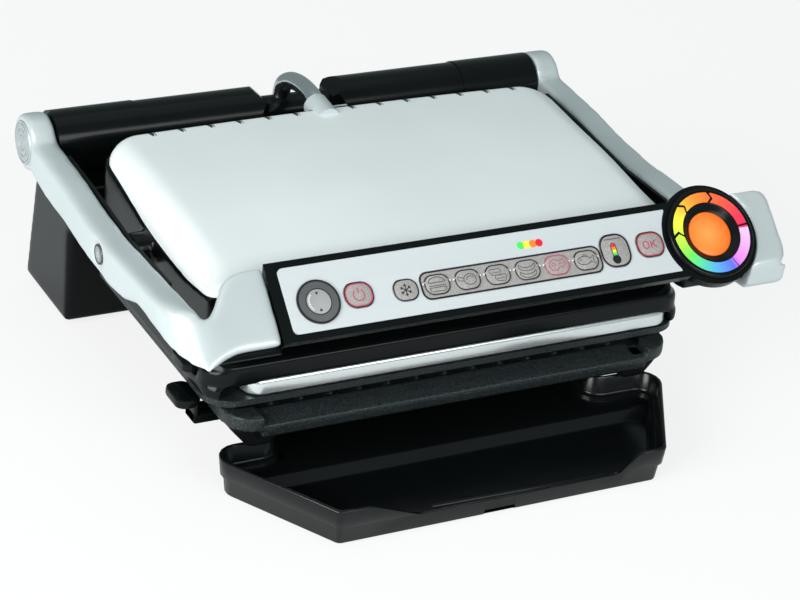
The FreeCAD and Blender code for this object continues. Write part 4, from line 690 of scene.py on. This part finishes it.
def sandwich():
    slice_edge = [(-2.9, 0.6), (-2.2, 1.5), (0.2, 1.3), (2.0, 1.6), (2.8, 0.5), (1.9, -1.4), (-2.0, -1.2)]
    bread = loop(slice_edge) + ribbon([(-2.0, -0.2), (1.9, -0.1)], 0.28)
    return placed(bread, -1.0, 1.2) + placed(bread, 1.2, -1.6)


def sausages():
    edge = ellipse(0, 2.0, 4.1, 2.6, 14, 200, 340) + ellipse(0, 0.6, 4.3, 2.7, 14, 340, 200)
    sausage = loop(edge)
    return placed(sausage, 0, 1.7) + placed(sausage, 0, -1.4)


def steak():
    edge = [(-3.9, -0.4), (-3.3, 1.5), (-1.2, 2.6), (1.2, 1.9), (3.4, 2.2), (4.1, 0.6), (3.0, -0.9),
            (0.9, -1.2), (-0.6, -2.4), (-2.7, -2.3)]
    shapes = loop(edge, 0.4)
    shapes += loop(ellipse(-1.6, 0.3, 0.9, 0.7, 12), 0.32)
    return shapes + ribbon([(0.6, 0.3), (2.9, 0.9)], 0.32)


def fish():
    tail = [(2.2, -0.65), (4.3, -2.0), (3.7, 0.0), (4.3, 2.0), (2.2, 0.65)]
    shapes = loop(ellipse(-0.9, 0, 3.3, 1.9, 22, 20, 340) + tail)
    shapes += ribbon([(-1.6, 1.8), (-0.3, 2.9), (0.9, 1.7)], 0.32)
    return shapes + loop(ellipse(-2.7, 0.4, 0.35, 0.35, 8), 0.25)


def key_border():
    """A key's printed border, broken at two places on each side."""
    width, height, corner = KEY_SIZE
    outline = rounded(width - 0.5, height - 0.5, corner - 0.25, steps=9)
    middles = [(shape, sum(rise for _, rise in shape) / 4) for shape in loop(outline, 0.62)]
    return [shape for shape, middle in middles if not 0.9 < middle < 2.3]


def make_keys():
    """Borders and icons of the six program keys, their lamps and the strip's border."""
    for number, icon in enumerate([burger, drumstick, sandwich, sausages, steak, fish], 1):
        name = f"program_button_{number}"
        place = (KEY_X[number - 1], KEY_UP)
        border, line = ("red", "red") if icon is steak else ("ink", "line")
        ink(f"key_border_{number}", placed(key_border(), *place), KEY_TOP, border, name)
        ink(f"key_icon_{number}", placed(icon(), *place, ICON_SIZE), KEY_TOP, line, name)
    lamps = [circle(x + side * 7.75, KEY_UP + 1.2, 0.38, 10) for x in KEY_X for side in (-1, 1)]
    ink("key_lamps", lamps, STRIP_TOP, "lamp", "lid", "strip_plastic", 0.6)
    ink("strip_border", loop(rounded(*STRIP_SIZE, STRIP_X, KEY_UP, 8), 1.0), STRIP_TOP, "ink", "lid")


def make_buttons():
    """Borders and signs of three of the larger buttons."""
    signs = [("power", power_sign(), "red"), ("frozen", snowflake(), "ink"), ("confirm", ok_letters(), "red")]
    for name, sign, finish in signs:
        body = f"{name}_button"
        x, up, width, height, corner, _ = LARGE[name]
        ink(f"{name}_border", button_edge(name), BUTTON_TOP, "ink", body)
        if finish == "red":
            inner = rounded(width - 2.1, height - 2.1, corner - 1.05, x, up, 9)
            ink(f"{name}_rim", loop(inner, 0.75), BUTTON_TOP, "red", body)
        ink(f"{name}_sign", placed(sign, x, up), BUTTON_TOP, finish, body)


def make_thermometer():
    """The temperature button's border, its thermometer with four fields and a plain bar over it."""
    body = "temperature_button"
    place = LARGE["temperature"][:2]
    ink("temperature_border", button_edge("temperature"), BUTTON_TOP, "ink", body)
    tube = ribbon([(-2.1, -3), (-2.1, 3.2), (-1.4, 4.1), (0.2, 4.1), (0.9, 3.2), (0.9, -3)], 0.4)
    ink("temperature_bulb", placed([circle(-0.6, -5.0, 2.5, 24), *tube], *place), BUTTON_TOP, "ink", body)
    for number, finish in enumerate(LEVEL_COLOURS):
        low = 1.6 * number - 2.7
        block = [(-1.7, low), (0.5, low), (0.5, low + 1.62), (-1.7, low + 1.62)]
        name = f"temperature_scale_{number + 1}"
        ink(name, placed([block], *place), BUTTON_TOP, finish, body, "strip_plastic")
    bar = [(-5, 6.4), (5, 6.4), (5, 6.9), (-5, 6.9)]
    ink("temperature_mark", placed([bar], *place), BUTTON_TOP, "line", body)


def make_dots():
    """Four coloured dots in a row, each a little over the one before."""
    for number, finish in enumerate(LEVEL_COLOURS):
        disc = circle(31.9 + 3.7 * number, 10.25, 2.15, 28)
        ink(f"level_dot_{number + 1}", [disc], 0.02 + 0.01 * number, finish, "lid", "strip_plastic")


def make_emblem():
    """Round metal badge: dark rim, darker ring, and a bright inner disc with two pointers."""
    x, up = -89.3, -2.7
    top = 0.9
    ink("emblem_rim", loop(circle(x, up, 11.3, 72), 1.1), 0.02, "ink", "lid", thick=0.95)
    ring = loop(circle(x, up, 9.0, 72), 3.9)
    ink("emblem_ring", ring, top, "dark_metal", "lid", "emblem_metal", 0.04)
    ink("emblem_groove", loop(circle(x, up, 6.9, 60), 0.55), top, "ink", "lid")
    marks = placed([[(0.9, 0.55), (0, -1.0), (-0.9, 0.55)]], x, up + 4.6)
    marks += placed([[(-0.9, -0.55), (0.9, -0.55), (0, 1.0)]], x, up - 4.6)
    ink("emblem_marks", marks, top, "ink", "lid")
    ends = zip(circle(x, up, 4.9, 9, 135, 223), circle(x, up, 5.9, 9, 135, 223))
    ticks = [ribbon(pair, 0.4)[0] for pair in ends]
    ink("emblem_ticks", ticks, top, "lamp", "lid", "emblem_metal")


def on_dial(x, up, out):
    return on_panel(DIAL_X + x, up, out)


def ring_sector(first, last, point_first=0.0, point_last=0.0):
    """One field of the scale: an arc whose ends may be pointed towards the clock's turn."""
    inner, outer = 17.45, 23.25
    steps = max(4, int(abs(last - first) / 4))
    far = circle(0, 0, outer, steps, first, last)
    near = circle(0, 0, inner, steps, first, last)
    mid = circle(0, 0, (inner + outer) / 2, steps, first + point_first, last + point_last)
    shapes = []
    for step in range(steps - 1):
        shapes.append([far[step], mid[step], mid[step + 1], far[step + 1]])
        shapes.append([mid[step], near[step], near[step + 1], mid[step + 1]])
    return shapes


def make_dial():
    """Glossy bezel with a cone inside, the coloured scale and the glowing cap."""
    edge = [(25.9, 0.0), (25.9, 1.9), (25.6, 2.5), (25.0, 2.9), (24.2, 3.0), (23.4, 2.95), (23.35, 2.45),
            (17.35, 2.45), (17.3, 2.95), (16.9, 3.0), (16.5, 2.8), (14.6, 1.2), (13.0, 0.45), (12.86, 0.05)]
    make_piece("dial_bezel", *turned(edge, on_dial), "black_gloss", "lid", "black_gloss", ["indicator_bezel"])
    fields = ring_sector(6, 74, 0, -6) + ring_sector(79, 128, -6, -6) + ring_sector(133, 176, -6, -6)
    fields += ring_sector(181, 294, -6, 0) + ring_sector(296, 363, 0, 0)
    ink("dial_scale", placed(fields, DIAL_X, 0), 2.48, "ring", "lid", "ring_print", 0.5, ["color_ring"])
    cap = [(12.7, 0.1), (12.7, 0.5), (12.5, 0.8), (12.0, 1.0), (10.0, 1.4), (7.0, 1.8), (3.5, 2.1),
           (0.001, 2.2)]
    make_piece("dial_cap", *turned(cap, on_dial), "dome", "lid", "dome_glow", ["indicator_dome"])


# Hinge and arm details

HINGE_AXIS, PIVOT_AXIS = (119.0, 108.4), (3.0, 96.0)
SIDES = [("left", -1), ("right", 1)]


def side_disc(name, side, profile, axis, finish, slot, steps=96, stands_for=()):
    """A shape turned about an axis across the body: radius and distance from the middle plane."""
    disc = turned(profile, lambda y, z, out: spot(side * out, axis[0] + y, axis[1] + z), steps)
    make_piece(name, *disc, finish, "lid", slot, stands_for)


def make_hinge_discs():
    """Discs at the hinge's ends, turned with fine rings."""
    face = [(12.5, 0.0), (12.5, 1.3), (12.2, 1.7), (11.3, 1.8), (11.1, 1.3), (10.6, 1.3), (10.4, 1.8),
            (8.0, 1.9), (7.8, 1.4), (7.3, 1.4), (7.1, 1.9), (4.6, 1.95), (4.4, 1.5), (4.0, 1.5),
            (3.8, 1.95), (0.001, 2.0)]
    profile = [(radius, 166 + out * 0.99) for radius, out in face]
    for name, side in SIDES:
        side_disc(f"hinge_disc_{name}", side, profile, HINGE_AXIS, "disc", "hinge_disc",
                  stands_for=[f"hinge_cap_{name}"])


def make_pivot_stars():
    """Screw heads of the side pivots: a dark washer and a bright star."""
    profile = [(5.6, 166.4), (5.5, 167.35), (5.2, 167.55), (4.6, 167.55), (4.3, 167.3), (0.001, 167.25)]
    for name, side in SIDES:
        side_disc(f"pivot_washer_{name}", side, profile, PIVOT_AXIS, "ink", "black_gloss", 40)
        outline = [circle(*PIVOT_AXIS, 1.5 if number % 2 else 3.7, 12)[number] for number in range(12)]
        star = solid([[spot(side * out, y, z) for y, z in outline] for out in (167.6, 167.2)])
        make_piece(f"pivot_star_{name}", *star, "disc", "lid", "pin_steel")


# Drip tray, built from rings of its wall from the foot over the rim to the floor

TRAY_SHIFT, TRAY_LIFT = -4.0, 0.3
TRAY_FRONT, TRAY_SHOULDER, TRAY_REAR = -163.0, -84.0, -44.0
TRAY_WIDE, TRAY_NARROW, TRAY_TAIL = 141.0, 96.0, 96.0
# Outer and inner side of the wall: height and how far in from the outline
TRAY_OUTER = [(0, 5.4), (0.35, 4.4), (1.2, 3.9), (10.4, 2.75), (10.8, 2.5), (11.0, 1.5), (11.4, 1.15),
              (20.8, 0.05), (21.5, 0.15), (21.9, 0.55)]
TRAY_INNER = [(22.0, 1.1), (21.9, 1.8), (21.3, 2.3), (12.4, 3.4), (11.5, 3.8), (11.1, 4.6), (10.6, 5.3),
              (8.6, 5.7), (3.0, 6.3), (2.2, 7.2)]
# Where the front rim drops for pouring: place along X and height
TRAY_SPOUT = [(-83, 22.0), (-80, 21.0), (-54, 9.6), (-50, 9.0), (63, 9.0), (67, 9.8), (75, 20.0), (79, 22.0)]
# Notch for the fingers under the front wall: from, to and how high
TRAY_GRIP = (-14.0, 4.0, 3.0)
# Height of the floor along the tray, with its step
TRAY_FLOOR = [(-47, 8), (-86, 8), (-89, 8), (-93, 8), (-98, 8), (-99.4, 7.8), (-100.4, 7.2), (-103.4, 3.0),
              (-104.4, 2.3), (-106, 2.0), (-157.5, 2.0)]
# Above every rim
NO_LIMIT = 99.0


def tray_corners(inset):
    """Corners of the tray's plan at an inset, each with its radius."""
    slope = (TRAY_WIDE - TRAY_NARROW) / (TRAY_SHOULDER - TRAY_FRONT)
    side = inset * math.sqrt(1 + slope**2)
    wide = TRAY_WIDE - side - inset * slope
    narrow = TRAY_NARROW - side + inset * slope
    front, shoulder = TRAY_FRONT + inset, TRAY_SHOULDER - inset
    rear, tail = TRAY_REAR - inset, TRAY_TAIL - inset
    corner = 5.5 - inset / 2
    right = [(narrow, front, corner), (wide, shoulder, 12 - inset), (tail, shoulder, 8 + inset),
             (tail, rear, corner)]
    left = [(-x, y, radius) for x, y, radius in right]
    return [left[0], *right, *left[:0:-1]]


def cornered(corners, steps=7):
    """Outline of a polygon whose corners are arcs, as a list of arcs."""
    arcs = []
    for index, (x, y, radius) in enumerate(corners):
        here = Vector((x, y))
        back = (Vector(corners[index - 1][:2]) - here).normalized()
        ahead = (Vector(corners[(index + 1) % len(corners)][:2]) - here).normalized()
        half = back.angle(ahead) / 2
        middle = here + (back + ahead).normalized() * (radius / math.sin(half))
        first = here + back * (radius / math.tan(half)) - middle
        last = here + ahead * (radius / math.tan(half)) - middle
        turn = -first.angle_signed(last)
        spins = [Matrix.Rotation(turn * step / (steps - 1), 2) for step in range(steps)]
        arcs.append([tuple(middle + spin @ first) for spin in spins])
    return arcs


def tray_plan(inset):
    """The tray's outline with extra points along the front, where the rim changes height."""
    arcs = cornered(tray_corners(inset))
    grip = [TRAY_GRIP[0] - 0.1, TRAY_GRIP[0], TRAY_GRIP[1], TRAY_GRIP[1] + 0.1]
    stops = sorted([place for place, _ in TRAY_SPOUT] + grip)
    arcs.insert(1, [(place - TRAY_SHIFT, TRAY_FRONT + inset) for place in stops])
    return [(x + TRAY_SHIFT, y) for arc in arcs for x, y in arc]


def straight(table, place):
    """Value at a place on the straight lines through a table of points."""
    for (start, low), (end, high) in zip(table, table[1:]):
        if start <= place <= end:
            return low + (high - low) * (place - start) / (end - start)
    return table[0][1] if place < table[0][0] else table[-1][1]


def rim_height(x, y):
    """Height of the rim above a place on the wall."""
    dips = y <= TRAY_FRONT + 12 and TRAY_SPOUT[0][0] <= x <= TRAY_SPOUT[-1][0]
    return straight(TRAY_SPOUT, x) if dips else NO_LIMIT


def tray_ring(inset, height):
    """One ring of the wall, lowered where the rim dips and raised over the grip notch."""
    ring = []
    for x, y in tray_plan(inset):
        level = height
        top = rim_height(x, y)
        if level > top:
            low, high = straight(sorted(TRAY_OUTER), top) + 0.3, straight(sorted(TRAY_INNER), top) - 0.3
            y = TRAY_FRONT + min(max(inset, low), high)
            level = top
        if y < TRAY_FRONT + 12 and TRAY_GRIP[0] <= x <= TRAY_GRIP[1]:
            level = max(level, TRAY_GRIP[2])
        ring.append(spot(x, y, level + TRAY_LIFT))
    return ring


def tray_half(y, inset):
    """Half width of the tray's inside at a place along it, clear of its rounded corners."""
    if y > TRAY_SHOULDER - 4:
        return TRAY_TAIL - inset
    share = (y - TRAY_FRONT) / (TRAY_SHOULDER - TRAY_FRONT)
    corner = TRAY_WIDE - 14 - max(0, y + 94) * 1.6
    return min(TRAY_NARROW + (TRAY_WIDE - TRAY_NARROW) * share - inset * 1.4, corner)


def make_tray():
    """Moulded tray: drafted wall with a ledge, low pouring edge, and a step in its floor."""
    wall = [tray_ring(inset, height) for height, inset in TRAY_OUTER + TRAY_INNER]
    floor = []
    for y, height in TRAY_FLOOR:
        half = tray_half(y, 5.2)
        line = [TRAY_SHIFT + half * (2 * step / 12 - 1) for step in range(13)]
        floor.append([spot(x, y, height + TRAY_LIFT) for x in line])
    under = [[spot(TRAY_SHIFT + side * tray_half(y, 6), y, 0.5) for side in (-1, 1)]
             for y in (-48, -86, -89, -93, -158)]
    rib = []
    for along in (-38, -37, 65, 66.5):
        width = 0.3 if along in (-38, 66.5) else 1.3
        middle = -144.6 - 3.6 * (along + 38) / 105
        shape = [(-width, 2.0), (-width * 0.6, 2.7), (0, 3.0), (width * 0.6, 2.7), (width, 2.0)]
        rib.append([spot(along, middle + across, height + TRAY_LIFT) for across, height in shape])
    parts = [skin(wall), *[skin(sheet, closed=False) for sheet in (floor, under, rib)]]
    make_piece("tray_shell", *join(*parts), "tray", "drip_tray", "tray_plastic", ["drip_tray"], angle=40)


# Steel band round the foot of the upper housing, the wire conduit and the release levers

LEVER_REACH, LEVER_Y = 151.0, -62.0
CONDUIT_RADIUS = 5.1
CONDUIT_PATH = [(-10.5, 120, 112), (-10.4, 120, 117), (-10.2, 119.5, 121.4), (-9.6, 118, 125.8),
                (-7.5, 113, 129.1), (-5.5, 104, 129.9), (-5, 91, 128.9), (-6, 80, 124.9), (-7, 73, 119)]


def make_band():
    """Pressed steel band with a rounded top edge."""
    section = [(2.2, 53.0), (0.5, 52.8), (0.1, 53.2), (0.0, 54.0), (0.1, 58.2), (0.4, 59.9), (1.1, 60.8),
               (2.2, 61.2)]
    rings = slab(section, (255, 168), 10.0, (6.5, -7), 10, follow=0.5)
    make_piece("band_skin", *skin(rings), "band", "upper", "brushed_steel", ["steel_band"])


def smooth_path(stops, steps=6):
    """Places along a smooth curve through the stops, without its last point."""
    path = []
    last = len(stops) - 1
    for index in range(last):
        ends = [stops[max(0, min(last, index + step))] for step in (-1, 0, 1, 2)]
        before, here, after, later = [Vector(end) for end in ends]
        for number in range(steps):
            share = number / steps
            place = 2 * here + (after - before) * share
            place += (2 * before - 5 * here + 4 * after - later) * share**2
            place += (3 * here - before - 3 * after + later) * share**3
            path.append(place / 2)
    return path


def make_conduit():
    """Stiff chromed tube that leads the wires from the hinge to the upper housing."""
    path = smooth_path(CONDUIT_PATH)
    rings = []
    for index, place in enumerate(path):
        along = (path[min(index + 1, len(path) - 1)] - path[max(index - 1, 0)]).normalized()
        side = along.cross(Vector((1, 0, 0))).normalized()
        rise = along.cross(side)
        ring = circle(0, 0, CONDUIT_RADIUS, 24)
        rings.append([spot(*(place + across * side + up * rise)) for across, up in ring])
    make_piece("conduit_tube", *solid(rings), "tube", "upper", "silver_paint", ["conduit"])


def make_lever_tab():
    """Flat tab with softly rounded edges, the slim neck that carries it and the tongue under the plate."""
    levels = [(1.2, 40.0), (0.3, 40.5), (0, 41.5), (0, 43.5), (0.3, 44.7), (1.2, 45.3)]
    tab = slab(levels, (14, 22), 5.5, (7 - LEVER_REACH, LEVER_Y), 8)
    neck = slab([(0, 41), (0, 28)], (2.6, 13), 1.2, (12.7 - LEVER_REACH, LEVER_Y), 4)
    tongue = slab([(0, 33), (0, 28)], (23, 13), 1.2, (22.9 - LEVER_REACH, LEVER_Y), 4)
    make_piece("lever_tab", *join(solid(tab), solid(neck), solid(tongue)), "black_gloss", "lower_lever",
               "lever_plastic", ["lower_release_lever"])


def make_upper_tab():
    """Tongue that frees the upper plate, a little slimmer than its slot."""
    node = nodes["upper_release_lever"]
    corners = [node.matrix_world @ Vector(corner) / MM for corner in node.bound_box]
    low, high = [Vector([pick(axis) for axis in zip(*corners)]) for pick in (min, max)]
    middle, size = (low + high) / 2, high - low
    rings = []
    for inset, height in ((2.4, low.z + 0.8), (1.2, low.z + 1.6), (1.2, high.z - 1.6), (2.4, high.z - 0.8)):
        across = middle.x - SHIFT / MM + inset / 4
        plan = rounded(size.x - inset, size.y - 2 * inset, 4, across, middle.y, 6)
        rings.append([spot(x, y, height) for x, y in plan])
    make_piece("upper_lever_tab", *solid(rings), "black_gloss", "upper_lever", "lever_plastic",
               ["upper_release_lever"])


finish_cad_nodes()
make_cover()
make_louvres()
make_conduit()
make_lever_tab()
make_upper_tab()
make_tray()
make_band()
make_plates()
make_button_caps()
make_keys()
make_buttons()
make_thermometer()
make_dots()
make_emblem()
make_dial()
make_hinge_discs()
make_pivot_stars()


# Stage, camera and light

CAMERA_PLACE = (-0.65308, -1.16983, 0.74915)
CAMERA_ANGLES = (-29.27, 27.85, -5.40)
SENSOR = 36
# Focal length in pixels of a picture 800 pixels wide
FOCAL, PICTURE_WIDTH = 2707.67, 800


def add_camera():
    """The photograph's camera: 29 degrees round to the left, 28 degrees up, and a small roll."""
    turn, rise, roll = [math.radians(angle) for angle in CAMERA_ANGLES]
    back = Vector((math.sin(turn) * math.cos(rise), -math.cos(turn) * math.cos(rise), math.sin(rise)))
    right = Vector((0, 0, 1)).cross(back).normalized()
    down = right.cross(back)
    across = math.cos(roll) * right + math.sin(roll) * down
    below = -math.sin(roll) * right + math.cos(roll) * down
    data = bpy.data.cameras.new("camera")
    data.lens = FOCAL / PICTURE_WIDTH * SENSOR
    data.sensor_width = SENSOR
    data.clip_start = 0.05
    camera = bpy.data.objects.new("camera", data)
    show(camera)
    turned_to = Matrix((across, -below, back)).transposed().to_4x4()
    camera.matrix_world = Matrix.Translation(CAMERA_PLACE) @ turned_to
    bpy.context.scene.camera = camera


def add_area(name, place, aim, size, power):
    """A soft rectangular lamp turned towards its aim."""
    data = bpy.data.lights.new(name, "AREA")
    data.shape = "RECTANGLE"
    data.size, data.size_y = size
    data.energy = power
    light = bpy.data.objects.new(name, data)
    light.location = place
    light.rotation_euler = (Vector(aim) - Vector(place)).to_track_quat("-Z", "Y").to_euler()
    show(light)


def whiten(owner, end, kind, plain, share=1.0):
    """Mix a plain look with white for rays that come straight from the camera."""
    white = add_node(owner, kind, (1, 1, 1, 1), 1.0)
    seen = add_node(owner, "ShaderNodeLightPath").outputs["Is Camera Ray"]
    amount = add_node(owner, "ShaderNodeMath", seen, share)
    amount.operation = "MULTIPLY"
    mix = add_node(owner, "ShaderNodeMixShader", amount.outputs[0], plain, white.outputs[0])
    owner.node_tree.links.new(mix.outputs[0], owner.node_tree.nodes[end].inputs["Surface"])


def add_floor():
    bpy.ops.mesh.primitive_plane_add(size=8, location=(0, 0, 0))
    floor = bpy.context.active_object
    floor.name = "floor"
    paper = make_material("floor_paper", (0.92, 0.92, 0.92), 0.9, specular=0.1)
    # A share below one keeps a soft shadow
    whiten(paper, "Material Output", "ShaderNodeEmission", shader_of(paper).outputs["BSDF"], 0.8)
    floor.data.materials.append(paper)


def add_world():
    """Soft light from all round, plain white to the camera."""
    world = bpy.data.worlds.new("studio")
    bpy.context.scene.world = world
    world.use_nodes = True
    surround = add_node(world, "ShaderNodeBackground", (0.66, 0.81, 0.82, 1), 0.40)
    whiten(world, "World Output", "ShaderNodeBackground", surround.outputs[0])


add_camera()
add_floor()
add_area("key", (-1.7, -0.7, 0.75), (0, 0, 0.05), (1.3, 0.9), 42)
add_area("front", (0.2, -1.9, 1.0), (0, 0, 0.05), (1.6, 0.7), 19)
add_area("top", (0.0, 0.2, 1.9), (0, 0, 0), (1.8, 1.4), 3)
add_world()
bpy.context.scene.view_settings.view_transform = "Standard"
